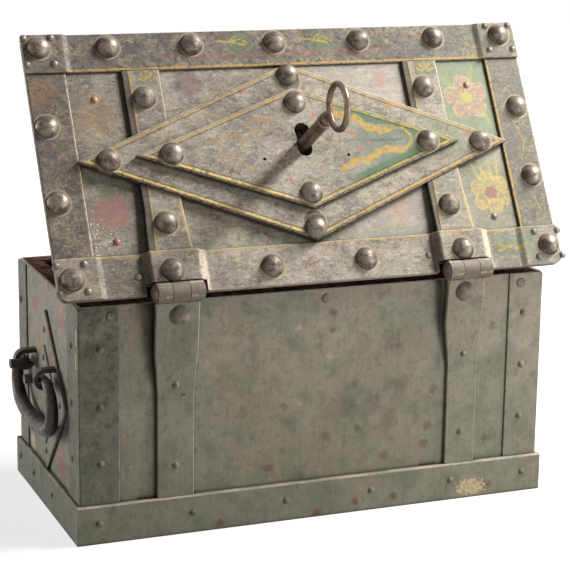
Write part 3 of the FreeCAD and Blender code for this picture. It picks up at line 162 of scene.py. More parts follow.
class Graph:
    """The node tree of a material or of the world, built a value at a time."""

    def __init__(self, owner):
        owner.use_nodes = True
        self.owner = owner
        self.tree = owner.node_tree
        self.tree.nodes.clear()

    def add(self, kind, values=None, output=0, **settings):
        node = self.tree.nodes.new(kind)
        for key, value in settings.items():
            setattr(node, key, value)
        for socket, value in (values or {}).items():
            if isinstance(value, bpy.types.NodeSocket):
                self.tree.links.new(value, node.inputs[socket])
            else:
                node.inputs[socket].default_value = value
        return node.outputs[output] if node.outputs else None

    def math(self, operation, a, b=0.0, c=0.0, clamp=False):
        return self.add("ShaderNodeMath", {0: a, 1: b, 2: c}, operation=operation,
                        use_clamp=clamp)

    def most(self, *values):
        top = values[0]
        for value in values[1:]:
            top = self.math("MAXIMUM", top, value)
        return top

    def times(self, *values):
        product = values[0]
        for value in values[1:]:
            product = self.math("MULTIPLY", product, value)
        return product

    def absolute(self, value):
        return self.math("ABSOLUTE", value)

    def vector(self, operation, a, b=(0, 0, 0), output=0):
        return self.add("ShaderNodeVectorMath", {0: a, 1: b}, output=output,
                        operation=operation)

    def scaled(self, place, factors):
        return self.vector("MULTIPLY", place, factors)

    def flat(self, place):
        return self.scaled(place, (1, 1, 0))

    def moved(self, place, offset):
        return self.vector("ADD", place, offset)

    def distance(self, place, x, y, z=0.0):
        return self.vector("DISTANCE", place, (x, y, z), output="Value")

    def parts(self, place):
        node = self.tree.nodes.new("ShaderNodeSeparateXYZ")
        self.tree.links.new(place, node.inputs[0])
        return node.outputs

    def span(self, value, low, high, to_low=0.0, to_high=1.0):
        """to_low where value is low, to_high where it is high, and smooth between them."""
        return self.add("ShaderNodeMapRange", {"Value": value, "From Min": low, "From Max": high,
                                               "To Min": to_low, "To Max": to_high},
                        interpolation_type="SMOOTHSTEP")

    def noise(self, place, size, detail=2.0, roughness=0.55, distortion=0.0, output=0):
        """Noise whose grain is size, from 0 to 1 with its mean near 0.5."""
        return self.add("ShaderNodeTexNoise", {"Vector": place, "Scale": 1.0 / size,
                                               "Detail": detail, "Roughness": roughness,
                                               "Distortion": distortion}, output=output)

    def layer(self, colour, over, mask):
        return self.add("ShaderNodeMix", {0: mask, MIX_A: colour, MIX_B: over},
                        output=MIX_RESULT, data_type="RGBA", blend_type="MIX")

    def stain(self, colour, over, share, *masks):
        """colour with a share of over on it, where all the masks are 1."""
        return self.layer(colour, over, self.times(*masks, share))

    def near(self, value, middle, half, soft=0.35):
        """1 where value is within half of middle."""
        off = self.absolute(self.math("SUBTRACT", value, middle))
        return self.span(off, half - soft, half + soft, 1.0, 0.0)

    def spots(self, place, *spots):
        """1 inside round spots: each is x, y, radius and how soft its edge is."""
        return self.most(*[self.span(self.distance(place, x, y), radius - soft, radius + soft,
                                     1.0, 0.0) for x, y, radius, soft in spots])

    def stroke(self, place, start, end, half, soft=0.8):
        """A brush stroke from start to end, which tapers to its end."""
        along = Vector(end) - Vector(start)
        from_start = self.vector("SUBTRACT", place, (*start, 0.0))
        dot = self.vector("DOT_PRODUCT", from_start, (*along, 0.0), output="Value")
        share = self.math("MULTIPLY", dot, 1.0 / along.length_squared, clamp=True)
        foot = self.add("ShaderNodeVectorMath", {0: (*along, 0.0), "Scale": share},
                        operation="SCALE")
        off = self.vector("DISTANCE", from_start, foot, output="Value")
        width = self.math("MULTIPLY_ADD", share, -0.5 * half, half)
        return self.span(self.math("SUBTRACT", off, width), -soft, soft, 1.0, 0.0)

    def strokes(self, place, points, half, soft=0.8):
        return self.most(*[self.stroke(place, start, end, half, soft)
                           for start, end in zip(points, points[1:])])

    def drawing(self, place, lines, soft=0.8):
        """Several lines: each is half its width and the points it runs through."""
        return self.most(*[self.strokes(place, points, half, soft) for half, points in lines])

    def flower(self, place, centre, petals, reach, petal_r, turn):
        """The petals' fill, the petals' outline and how far a point is from the centre."""
        x, y, _ = self.parts(self.vector("SUBTRACT", place, (*centre, 0.0)))
        angle = self.math("ADD", self.math("ARCTAN2", y, x), turn)
        half_sector = math.pi / petals
        angle = self.math("WRAP", angle, half_sector, -half_sector)
        length = self.math("SQRT", self.math("ADD", self.math("POWER", x, 2.0),
                                             self.math("POWER", y, 2.0)))
        cosine = self.times(self.math("COSINE", angle), length, -2.0 * reach)
        square = self.math("ADD", self.math("POWER", length, 2.0), reach ** 2)
        gap = self.math("SQRT", self.math("MAXIMUM", self.math("ADD", square, cosine), 0.0))
        return (self.span(gap, petal_r - 0.8, petal_r + 0.8, 1.0, 0.0),
                self.near(gap, petal_r - 0.6, 0.8, 0.6), length)


def object_place(g):
    return g.add("ShaderNodeTexCoord", output="Object")


def box_place(g):
    """Millimetres in the frame of the box."""
    return g.scaled(object_place(g), (1000, 1000, 1000))


def lid_place(g):
    """Millimetres in the frame of the closed lid."""
    turned_y = HINGE_Y * math.cos(LID_OPEN) - HINGE_Z * math.sin(LID_OPEN)
    turned_z = HINGE_Y * math.sin(LID_OPEN) + HINGE_Z * math.cos(LID_OPEN)
    return g.add("ShaderNodeMapping", {"Vector": object_place(g),
                                       "Location": (0.0, HINGE_Y - turned_y, HINGE_Z - turned_z),
                                       "Rotation": (LID_OPEN, 0.0, 0.0),
                                       "Scale": (1000, 1000, 1000)})


def shifted(g, place, size, amount):
    """place moved about by up to amount, for edges drawn by hand."""
    cloud = g.noise(place, size, 2.0, output="Color")
    push = g.vector("SUBTRACT", cloud, (0.5, 0.5, 0.5))
    return g.add("ShaderNodeVectorMath", {0: push, 1: (2 * amount,) * 3, 2: place},
                 operation="MULTIPLY_ADD")


def open_share(g, reach, samples):
    """How much of the space within reach is free of other surfaces."""
    return g.add("ShaderNodeAmbientOcclusion", {"Distance": reach}, output="AO",
                 samples=samples)


def edge_wear_and_dirt_shade(g, round_mm=0.8, dirt_and_shade_mm=5.0):
    """The rounded normal, a mask of worn outer edges and a mask of corners, which are darkened as
    dirt and as painted shade.
    """
    rounded = g.add("ShaderNodeBevel", {"Radius": round_mm / 1000}, samples=4)
    plain = g.add("ShaderNodeNewGeometry", output="Normal")
    bend = g.math("SUBTRACT", 1.0, g.vector("DOT_PRODUCT", rounded, plain, output="Value"))
    free = open_share(g, dirt_and_shade_mm / 1000, 6)
    edge = g.times(g.span(bend, *EDGE_BEND), g.span(free, *EDGE_OPEN))
    return rounded, edge, g.span(free, *CORNER_OPEN)


def finish_surface(g, colour, roughness, height, normal, bump_mm=0.3, metallic=0.0,
                   specular=0.15):
    bump = g.add("ShaderNodeBump", {"Strength": 1.0, "Distance": bump_mm / 1000,
                                    "Height": height, "Normal": normal})
    shader = g.add("ShaderNodeBsdfPrincipled", {"Base Color": colour, "Roughness": roughness,
                                                "Metallic": metallic, "Normal": bump,
                                                "Specular IOR Level": specular})
    g.add("ShaderNodeOutputMaterial", {"Surface": shader})
    return g.owner


def worn_paint(g, place, look):
    """Old paint on iron: its ground with stains on it, its roughness and its height.

    A layer of stains is its colour, its grain in millimetres, how far it is drawn out along x,
    the span of the noise over which it comes in, and its share."""
    colour = look["ground"]
    clouds = []
    for number, (over, size, drawn_out, low, high, share) in enumerate(look["layers"]):
        offset = (17.0 * number, 31.0 * number, 53.0 * number)
        at = g.add("ShaderNodeVectorMath", {0: place, 1: (1.0 / drawn_out, 1.0, 1.0), 2: offset},
                   operation="MULTIPLY_ADD")
        detail, distortion = (4.0, 0.25) if size > 6 else (2.0, 0.0)
        cloud = g.noise(at, size, detail, 0.58, distortion)
        clouds.append(cloud)
        colour = g.stain(colour, over, share, g.span(cloud, low, high))
    roughness = g.span(clouds[2], 0.3, 0.7, *look["roughness"])
    dents = g.noise(place, 34, 1.0)
    height = g.math("ADD", g.times(dents, 2.4),
                    g.math("ADD", g.times(clouds[-3], 0.5), g.times(clouds[-1], 0.2)))
    return colour, roughness, height


def rust_specks(g, place, colour, size, level, share):
    spots = g.noise(g.moved(place, (7, 113, 61)), size, 3.0, 0.6)
    return g.stain(colour, RUST, share, g.span(spots, level - 0.04, level + 0.03))


BOX_LOOK = {
    "ground": tint(150, 145, 128), "roughness": (0.5, 0.68),
    "layers": [(tint(158, 142, 124), 80, 1.0, 0.42, 0.60, 0.8),
               (tint(112, 116, 98), 34, 1.0, 0.44, 0.64, 0.6),
               (tint(176, 168, 148), 18, 1.0, 0.46, 0.70, 0.4),
               (tint(96, 86, 74), 11, 1.0, 0.50, 0.72, 0.4),
               (tint(112, 80, 64), 5, 1.0, 0.58, 0.74, 0.25),
               (tint(86, 78, 68), 3.4, 1.0, 0.52, 0.74, 0.3),
               (tint(174, 162, 140), 1.8, 1.0, 0.52, 0.72, 0.3)]}
BAND_LOOK = {
    "ground": tint(116, 112, 104), "roughness": (0.5, 0.68),
    "layers": [(tint(122, 112, 102), 60, 1.0, 0.42, 0.60, 0.5),
               (tint(90, 94, 84), 30, 1.0, 0.46, 0.62, 0.8),
               (tint(144, 138, 122), 14, 1.0, 0.50, 0.70, 0.45),
               (tint(66, 60, 54), 9, 1.0, 0.50, 0.68, 0.6),
               (tint(100, 72, 58), 5, 1.0, 0.58, 0.72, 0.4),
               (tint(66, 60, 54), 3.4, 1.0, 0.52, 0.70, 0.4),
               (tint(156, 148, 132), 1.8, 1.0, 0.54, 0.72, 0.3)]}
END_LOOK = {
    "ground": tint(144, 140, 132), "roughness": (0.5, 0.68),
    "layers": [(tint(156, 140, 122), 44, 1.0, 0.42, 0.62, 0.8),
               (tint(114, 120, 116), 30, 1.0, 0.44, 0.64, 0.75),
               (tint(178, 160, 134), 16, 1.0, 0.48, 0.70, 0.5),
               (tint(92, 80, 70), 10, 1.0, 0.50, 0.70, 0.5),
               (tint(152, 108, 88), 7, 1.0, 0.54, 0.72, 0.35),
               (tint(78, 70, 62), 3.6, 1.0, 0.52, 0.72, 0.4),
               (tint(192, 178, 154), 2.0, 1.0, 0.54, 0.72, 0.3)]}
LID_LOOK = {
    "ground": tint(157, 148, 136), "roughness": (0.5, 0.7),
    "layers": [(tint(104, 99, 96), 44, 1.0, 0.40, 0.60, 0.75),
               (tint(112, 116, 98), 30, 1.0, 0.46, 0.66, 0.5),
               (tint(186, 175, 157), 20, 1.2, 0.44, 0.70, 0.5),
               (tint(126, 98, 76), 11, 1.3, 0.50, 0.70, 0.5),
               (tint(80, 72, 64), 6, 1.6, 0.52, 0.70, 0.5),
               (tint(200, 188, 168), 3.4, 2.2, 0.50, 0.70, 0.45),
               (tint(64, 56, 50), 2.2, 1.0, 0.50, 0.70, 0.45),
               (tint(206, 190, 160), 1.4, 1.2, 0.52, 0.70, 0.4)]}
DARK_LID_LOOK = {
    "ground": tint(118, 110, 103), "roughness": (0.5, 0.7),
    "layers": [(tint(84, 81, 83), 40, 1.0, 0.42, 0.56, 0.8),
               (tint(102, 110, 94), 24, 1.0, 0.50, 0.62, 0.6),
               (tint(158, 140, 118), 13, 1.3, 0.52, 0.66, 0.6),
               (tint(128, 90, 64), 8, 1.0, 0.54, 0.66, 0.6),
               (tint(58, 52, 48), 5.5, 1.0, 0.52, 0.64, 0.6),
               (tint(166, 146, 118), 3.4, 1.4, 0.54, 0.70, 0.5),
               (tint(54, 48, 44), 2.2, 1.0, 0.50, 0.68, 0.5),
               (tint(160, 148, 128), 1.4, 1.2, 0.54, 0.72, 0.3)]}
RIVET_LOOK = dict(BAND_LOOK, ground=tint(144, 134, 118))
# Nearly black paint for the rim: painted shade in the gap under the open lid
RIM_SHADE_LOOK = {
    "ground": tint(36, 31, 27), "roughness": (0.5, 0.68),
    "layers": [(tint(52, 42, 36), 30, 1.0, 0.44, 0.62, 0.8),
               (tint(26, 22, 19), 12, 1.0, 0.46, 0.64, 0.7),
               (tint(70, 60, 52), 3.0, 1.0, 0.56, 0.72, 0.4)]}


def box_bevel_highlights(g):
    """A mask of the box's bevelled edges, whose faces lie slanted to all three axes; they get a
    painted highlight.
    """
    normal = g.add("ShaderNodeTexCoord", output="Normal")
    axes = g.parts(g.vector("ABSOLUTE", normal))
    return g.span(g.most(axes[0], axes[1], axes[2]), 0.94, 0.9)


def lid_bevel_highlights(g):
    """A mask of the lid's bevelled edges, whose faces lie slanted to the lid; they get a painted
    highlight.
    """
    normal = g.add("ShaderNodeMapping", {"Vector": g.add("ShaderNodeTexCoord", output="Normal"),
                                         "Rotation": (LID_OPEN, 0.0, 0.0)},
                   vector_type="VECTOR")
    up = g.parts(normal)[2]
    return g.times(g.span(up, 0.55, 0.65), g.span(up, 0.82, 0.78))


def box_paint(name, look, decorate=None, pale_top=False, pale_edges=True, specular=0.15,
              lining=BOX_LINING, dirt_and_shade_mm=5.0):
    """Paint for the pieces of the box; lining is the colour of their faces in its inside."""
    g = Graph(bpy.data.materials.new(name))
    place = box_place(g)
    colour, roughness, height = worn_paint(g, place, look)
    x, y, z = g.parts(place)
    streak = g.noise(g.scaled(place, (1.0, 1.0, 0.12)), 6.0, 3.0, 0.6)
    low = g.math("ADD", g.span(z, 190, 10), g.times(g.math("SUBTRACT", streak, 0.5), 0.8),
                 clamp=True)
    colour = g.stain(colour, MOSS, 0.42, low)
    brushed = g.noise(g.scaled(place, (1.0, 1.0, 0.08)), 2.4, 2.0, 0.5)
    colour = g.stain(colour, BRUSHED_DARK, 0.12, g.span(brushed, 0.46, 0.74))
    colour = g.stain(colour, BRUSHED_PALE, 0.16, g.span(streak, 0.50, 0.76))
    colour = rust_specks(g, place, colour, 5.0, 0.72, 0.40)
    if decorate:
        colour = decorate(g, place, colour)
    rounded, edge, dirt_and_shade = edge_wear_and_dirt_shade(g, 0.8, dirt_and_shade_mm)
    # Faces that look up are made paler: rubbed wear, and a painted highlight on the plinth's top
    if pale_top:
        up = g.parts(g.add("ShaderNodeTexCoord", output="Normal"))[2]
        rubbed_and_lit = g.noise(g.scaled(place, (0.12, 0.12, 1.0)), 5.0, 3.0, 0.6)
        colour = g.stain(colour, WORN_EDGE_AND_HIGHLIGHT, 0.6, g.span(up, 0.3, 0.6),
                         g.span(rubbed_and_lit, 0.34, 0.66))
    # Pale worn edges, with a painted highlight on the bevelled faces
    if pale_edges:
        chips = g.noise(place, 5.0, 4.0, 0.7)
        edge = g.most(edge, g.times(box_bevel_highlights(g), 0.7))
        kept = g.span(g.noise(place, 18.0, 2.0), 0.46, 0.60)
        colour = g.stain(colour, WORN_EDGE_AND_HIGHLIGHT, 0.65, edge, kept, g.span(chips, 0.40, 0.64))
    inside = g.times(g.span(g.absolute(x), BOX_INSIDE_X + 0.1, BOX_INSIDE_X - 0.1),
                     g.span(g.absolute(y), BOX_INSIDE_Y + 0.1, BOX_INSIDE_Y - 0.1))
    colour = g.layer(colour, g.layer(*lining, g.span(streak, 0.4, 0.62)), inside)
    # Dirt, and painted shade in corners and creases
    colour = g.stain(colour, DIRT_AND_SHADE, 0.9, dirt_and_shade)
    return finish_surface(g, colour, roughness, height, rounded, specular=specular)


def smudges(g, place, colour, spots, over, share):
    """Stains with a ragged outline on a wall: each is its x, its z and its radius."""
    ragged = shifted(g, shifted(g, place, 9.0, 5.0), 2.5, 2.5)
    masks = []
    for x, z, radius in spots:
        off = g.distance(g.scaled(ragged, (1, 0, 1)), x, 0, z)
        masks.append(g.span(off, radius, 0.35 * radius))
    return g.stain(colour, over, share, g.most(*masks))


WALL_RUST = [(48.7, 51.9, 6.5), (-6.6, 76.0, 7.0), (-39.3, 80.3, 6.5), (-68.6, 50.6, 7.5),
             (-118.2, 111.0, 6.0), (-112.8, 76.1, 6.5), (-108.6, 58.7, 6.0), (17.0, 41.0, 5.0),
             (-12.3, 194.9, 5.0), (-12.6, 178.8, 4.5), (35.3, 109.7, 4.5), (121.5, 76.9, 4.0),
             (-178.5, 169.0, 5.0), (-175.3, 133.1, 4.0), (-176.6, 56.7, 6.0)]
WALL_DARK = [(-26.9, 104.3, 13.0), (-50.6, 101.9, 13.0), (-35.5, 124.3, 6.0),
             (-61.5, 208.0, 6.0), (-84.0, 118.0, 11.0), (-70.0, 86.0, 12.0)]
WALL_PALE = [(21.1, 182.5, 4.0), (-9.6, 154.3, 5.0), (20.0, 110.8, 3.5), (181.4, 68.1, 3.0)]
PLINTH_RUST = [(-76.8, 11.1, 5.0), (-36.0, 9.8, 6.0), (3.1, 4.0, 6.0), (-176.0, 11.0, 7.0),
               (98.4, 6.0, 5.0)]
PLINTH_PATCH_AT = (-159.0, 0.0, 10.0)
PLINTH_PATCH_HALF = (17.0, 9.0)
END_FLOWERS = [(-45.0, 186.0, 13.0, ROSE), (47.0, 190.0, 15.0, PINK), (46.0, 203.0, 9.0, OCHRE),
               (40.0, 53.0, 15.0, ROSE), (39.0, 66.0, 9.0, PINK), (-64.0, 43.0, 12.0, CREAM),
               (-27.0, 150.0, 9.0, OCHRE), (22.0, 151.0, 10.0, PINK), (-20.0, 92.0, 9.0, OCHRE),
               (60.0, 120.0, 9.0, PINK), (-60.0, 120.0, 11.0, GREEN), (0.0, 40.0, 9.0, GREEN)]


def back_wall_marks(g, place, colour):
    """Stains, and a painted shadow beside the straps and the left corner band."""
    colour = smudges(g, place, colour, WALL_DARK, WALL_DARK_TINT, 0.32)
    colour = smudges(g, place, colour, WALL_RUST, WALL_RUST_TINT, 0.5)
    x = g.parts(place)[0]
    # Painted shadow: the wall is darkened where it is closed in, just beside the straps and the
    # corner band
    closed = g.span(open_share(g, STRAP_SIDE_REACH, 8), *STRAP_SIDE_OPEN)
    beside = g.most(*[g.near(x, edge, 9.0, 1.0) for edge in STRAP_SHADE_X])
    colour = g.stain(colour, DIRT_AND_SHADE, 0.9, closed, beside)
    return smudges(g, place, colour, WALL_PALE, CREAM, 0.3)


def plinth_marks(g, place, colour):
    """Rust, and the patch of crumbling cream paint on the back."""
    colour = smudges(g, place, colour, PLINTH_RUST, PLINTH_RUST_TINT, 0.7)
    crumbs = g.noise(place, 3.0, 4.0, 0.75)
    half_x, half_z = PLINTH_PATCH_HALF
    off = g.vector("SUBTRACT", g.scaled(place, (1, 0, 1)), PLINTH_PATCH_AT)
    off = g.vector("LENGTH", g.scaled(off, (1 / half_x, 0, 1 / half_z)), output="Value")
    ragged_off = g.math("ADD", off, g.times(g.math("SUBTRACT", crumbs, 0.5), 2.4))
    on_back = g.span(g.parts(place)[1], 0.0, 1.0)
    cream = g.layer(*PLASTER, g.span(crumbs, 0.46, 0.62))
    return g.stain(colour, cream, 0.9, g.span(ragged_off, 0.95, 0.75), g.span(off, 1.4, 1.1),
                   on_back)


def strap_marks(g, place, colour):
    z = g.parts(place)[2]
    colour = g.stain(colour, KNUCKLE, 0.85, g.span(z, *BARREL_Z))
    colour = smudges(g, place, colour, [(139.1, 118.3, 12.0)], STRAP_PALE, 0.5)
    return smudges(g, place, colour, [(133.3, 131.1, 3.0)], DIRT_AND_SHADE, 0.7)


def end_marks(g, place, colour):
    """Faded flowers, and ochre lines along the upright edges and the foot."""
    turned = g.add("ShaderNodeMapping", {"Vector": place, "Rotation": (0, 0, -math.pi / 2)})
    for y, z, radius, over in END_FLOWERS:
        colour = smudges(g, turned, colour, [(y, z, radius)], over, 0.65)
    _, y, z = g.parts(shifted(g, place, 6.0, 0.8))
    leaning = g.math("SUBTRACT", g.absolute(y), g.span(z, 35, 170, 65, 75))
    frame_line = g.times(g.near(leaning, 0.0, 1.0, 0.6), g.near(z, 102, 68, 2))
    foot_line = g.times(g.near(z, 34.5, 1.0, 0.6), g.near(y, 0, 90, 2))
    worn = g.span(g.noise(place, 5.0, 3.0, 0.6), 0.36, 0.54)
    return g.stain(colour, OCHRE, 0.8, g.most(frame_line, foot_line), worn)


def band_marks(g, place, colour):
    """Two yellow-green brush strokes on the end face beside the back corner."""
    x, y, z = g.parts(shifted(g, place, 3.0, 1.2))
    on_end = g.span(x, END_FACE_X, END_FACE_X + 0.6)
    strokes = g.most(*[g.times(g.near(y, stroke_y, 1.8, 1.0), g.near(z, stroke_z, 7.5, 2.0))
                       for stroke_y, stroke_z in ((101.5, 190.0), (100.0, 168.0))])
    return g.stain(colour, GREEN_YELLOW, 0.9, on_end, strokes)


def dome_centres():
    """Where the lid's dome rivets stand, in the frame of the closed lid, in millimetres."""
    back = Matrix.Rotation(LID_OPEN, 3, "X")
    hinge = Vector((0.0, HINGE_Y, HINGE_Z))
    groups = []
    for vertex in nodes["dome_rivets"].data.vertices:
        point = back @ (vertex.co * 1000 - hinge) + hinge
        for group in groups:
            if (group[0] - point).to_2d().length < DOME_REACH:
                group.append(point)
                break
        else:
            groups.append([point])
    centres = []
    for group in groups:
        xs = [point.x for point in group]
        ys = [point.y for point in group]
        centres.append(((min(xs) + max(xs)) / 2, (min(ys) + max(ys)) / 2))
    return centres


DOMES = dome_centres()


def dome_rings(g, flat, colour, carries):
    """A pale worn ring round each dome that stands on this piece, and dirt and painted shade at
    its foot.
    """
    gaps = [g.distance(flat, x, y) for x, y in DOMES if carries(x, y)]
    nearest = gaps[0]
    for gap in gaps[1:]:
        nearest = g.math("MINIMUM", nearest, gap)
    colour = g.stain(colour, DUST, 0.7, g.near(nearest, DOME_RING, 0.9, 0.7))
    # Dirt and painted shade in the crease where each dome meets the plate
    return g.stain(colour, DIRT_AND_SHADE, 0.5, g.span(nearest, DOME_RING - 0.6, DOME_RING - 1.6))


def lid_paint(name, decorate, carries, look=LID_LOOK):
    """Paint for a piece of the lid; carries tells whether a dome at x, y stands on it."""
    g = Graph(bpy.data.materials.new(name))
    place = lid_place(g)
    colour, roughness, height = worn_paint(g, place, look)
    x, _, z = g.parts(place)
    colour = g.stain(colour, LID_LEFT_SIDE, 0.40, g.span(x, -60, -235))
    colour = g.stain(colour, LID_RIGHT_SIDE, 0.30, g.span(x, 60, 235))
    flecks = g.noise(g.moved(place, (41, 3, 87)), 2.6, 3.0, 0.6)
    colour = g.stain(colour, OCHRE_PALE, 0.30, g.span(flecks, 0.64, 0.72))
    colour = rust_specks(g, place, colour, 6.0, 0.69, 0.45)
    left_over = g.span(g.noise(g.moved(place, (91, 12, 5)), 24.0, 2.0), 0.44, 0.60)
    for size, over, share in CRAZING:
        line = g.near(g.noise(place, size, 2.0, 0.6, 1.1), 0.5, 0.010, 0.009)
        colour = g.stain(colour, over, share, line, left_over)
    worn = g.span(g.noise(place, 4.0, 4.0, 0.7), 0.36, 0.56)
    drawn = g.flat(shifted(g, place, 7.0, 0.7))
    colour, art = decorate(g, drawn, colour, worn)
    height = g.math("ADD", height, g.times(art, 0.10))
    colour = dome_rings(g, g.flat(place), colour, carries)
    under = g.span(z, LID_UNDERSIDE + 0.4, LID_UNDERSIDE + 0.1)
    colour = g.layer(colour, g.layer(*LID_LINING, g.span(flecks, 0.4, 0.6)), under)
    rounded, edge, dirt_and_shade = edge_wear_and_dirt_shade(g)
    chips = g.noise(place, 3.2, 3.0, 0.6)
    # Worn edges, and a painted highlight on the bevelled faces of the lid
    edge = g.most(edge, g.times(lid_bevel_highlights(g), 0.9))
    colour = g.stain(colour, WORN_EDGE_AND_HIGHLIGHT, 0.85, edge, g.span(chips, 0.36, 0.54))
    # Dirt, and painted shade in corners and creases
    colour = g.stain(colour, DIRT_AND_SHADE, 0.8, dirt_and_shade)
    return finish_surface(g, colour, roughness, height, rounded)


# Each art function below lays its ornament on colour, and returns it with a mask of the thick
# paint. flat is the place in the closed lid's plane, worn is 0 where the paint has gone. A line
# is half its width and the points it runs through.
FRONT_LEAVES = [(1.3, [(16, -121.5), (4, -120.5), (-8, -123.0), (-15, -118.0)]),
                (1.5, [(2, -120.5), (-10, -117.0)]),
                (1.3, [(4, -121.0), (-3, -126.0)])]
FRONT_LEAVES_AT = (46.0, -38.0)
BACK_LEAVES = [(1.6, [(-184, 101), (-194, 97), (-204, 100), (-214, 95)]),
               (1.4, [(-190, 98), (-184, 94)]), (1.4, [(-200, 99), (-207, 104)])]
LEFT_TRACES = [(1.4, [(-231, -22), (-234, -8), (-232, 4)]),
               (1.4, [(-233, 50), (-236, 60), (-232, 68)]), (1.3, [(-230, -60), (-234, -46)])]
FAN_Y = -86.0
FAN_TIPS = [(0, -7), (4.5, -5), (-4.5, -5), (7.5, -0.5), (-7.5, -0.5)]
OUTER_LEAVES = [(1.2, [(95, -44), (86, -48), (80, -45), (74, -50)]),
                (1.2, [(-100, -46), (-88, -52), (-80, -50)]),
                (1.3, [(-150, 6), (-138, 14), (-124, 18)]),
                (1.3, [(-86, 34), (-72, 40), (-62, 46)])]
OUTER_PINK = [(43.6, -68.3, 3, 2), (-98, -49, 4, 2.5), (-170, -16.5, 3.5, 2)]
UPPER_LEAVES = [(-34, -42), (-46, -38), (-57, -35), (-68, -26), (-80, -23), (-94, -24)]
CURL = [(-92, -24), (-103, -23), (-110, -16), (-110, -9), (-103, -3), (-94, -1)]
LOWER_LEAVES = [(-97, -2), (-84, -3), (-74, 0), (-64, 6), (-50, 8), (-34, 15)]
FAINT_LEAVES = [(3.0, [(26, -38), (40, -38), (52, -34)]),
                (3.0, [(62, -24), (78, -20), (92, -19)]),
                (3.0, [(80, -8), (68, 0), (56, 8), (44, 13)]),
                (3.0, [(34, -28), (48, -24), (60, -14)])]
INNER_DOTS = [(-66.5, -10.4), (-57.0, -5.4), (-52.4, -19.6), (-14.8, 11.0), (-15.4, -40.1),
              (-40.0, -3.0), (-45.0, -22.0), (18.0, 22.0)]
PANEL_EDGE_X = (-154, -160)
PLATE_LEAVES = [(4.0, [(-190, -72), (-196, -88)]), (3.5, [(-172, -66), (-163, -78)]),
                (4.0, [(-196, -42), (-203, -30)]), (3.5, [(-170, -44), (-163, -36)])]
STEM_AT = (-189, 30)
STEMS = (-8, -2, 4, 10)
PLATE_SPOTS = [(PLATE_ROSE, 0.7, [(187, 38, 17, 5)]), (GREEN, 0.6, [(189, 19, 8, 4)]),
               (PURPLE, 0.5, [(95, -81, 12.5, 4)]),
               (PINK, 0.4, [(-91, 54, 11, 8), (-97, -79, 8, 5)])]
PLATE_CURL = [(197, -57), (190, -53), (195, -46), (190, -40)]
PLATE_RING_AT = (186.5, -71.0)
PLATE_SCROLLS = [(1.4, [(60, -74), (74, -70), (86, -66)]),
                 (1.4, [(-60, -82), (-74, -84), (-80, -78)]),
                 (1.4, [(70, 66), (84, 62), (98, 66)]),
                 (1.4, [(-66, 70), (-84, 66), (-100, 70)])]


def border_line(g, x, y, middle_y, half):
    """A line along a front or back border, which ends at the end borders."""
    return g.times(g.near(y, middle_y, half), g.span(g.absolute(x), *BORDER_LINE_ENDS))


def front_border_art(g, flat, colour, worn):
    x, y, _ = g.parts(flat)
    colour = g.stain(colour, GREEN, 0.5, g.spots(flat, (40, -117, 13, 7), (-44, -116, 13, 7)))
    colour = g.stain(colour, ROSE, 0.35, g.near(y, -107, 3.0, 2.5), g.span(g.absolute(x), 150, 60),
                     worn)
    leaves = g.most(*[g.strokes(flat, [(middle + x_off, at_y) for x_off, at_y in points], half)
                      for middle in FRONT_LEAVES_AT for half, points in FRONT_LEAVES])
    line = border_line(g, x, y, BORDER_FRONT_EDGE - 1.7, 1.0)
    art = g.times(g.most(line, leaves), worn)
    return g.stain(colour, OCHRE, 0.85, art), art


def back_border_art(g, flat, colour, worn):
    x, y, _ = g.parts(flat)
    line = border_line(g, x, y, BORDER_BACK_EDGE + 1.5, 0.8)
    colour = g.stain(colour, GREEN, 0.45, g.near(x, -200, 22, 10), g.near(y, 97, 9, 5))
    art = g.times(g.most(line, g.drawing(flat, BACK_LEAVES)), worn)
    return g.stain(colour, OCHRE, 0.75, art), art


def left_border_art(g, flat, colour, worn):
    line = g.near(g.parts(flat)[0], -BORDER_END_EDGE - 1.6, 1.1)
    traces = g.drawing(flat, LEFT_TRACES)
    art = g.times(g.most(line, g.times(traces, 0.6)), worn)
    return g.stain(colour, OCHRE, 0.85, art), art


def right_border_art(g, flat, colour, worn):
    colour = g.stain(colour, BORDER_RUST, 0.5, g.spots(flat, (234, -76, 13, 9)), worn)
    # The cream line along the inner edge is a painted highlight, where that edge faces the light
    art = g.times(g.near(g.parts(flat)[0], BORDER_END_EDGE + 1.2, 0.7), worn)
    return g.stain(colour, CREAM, 0.5, art), art


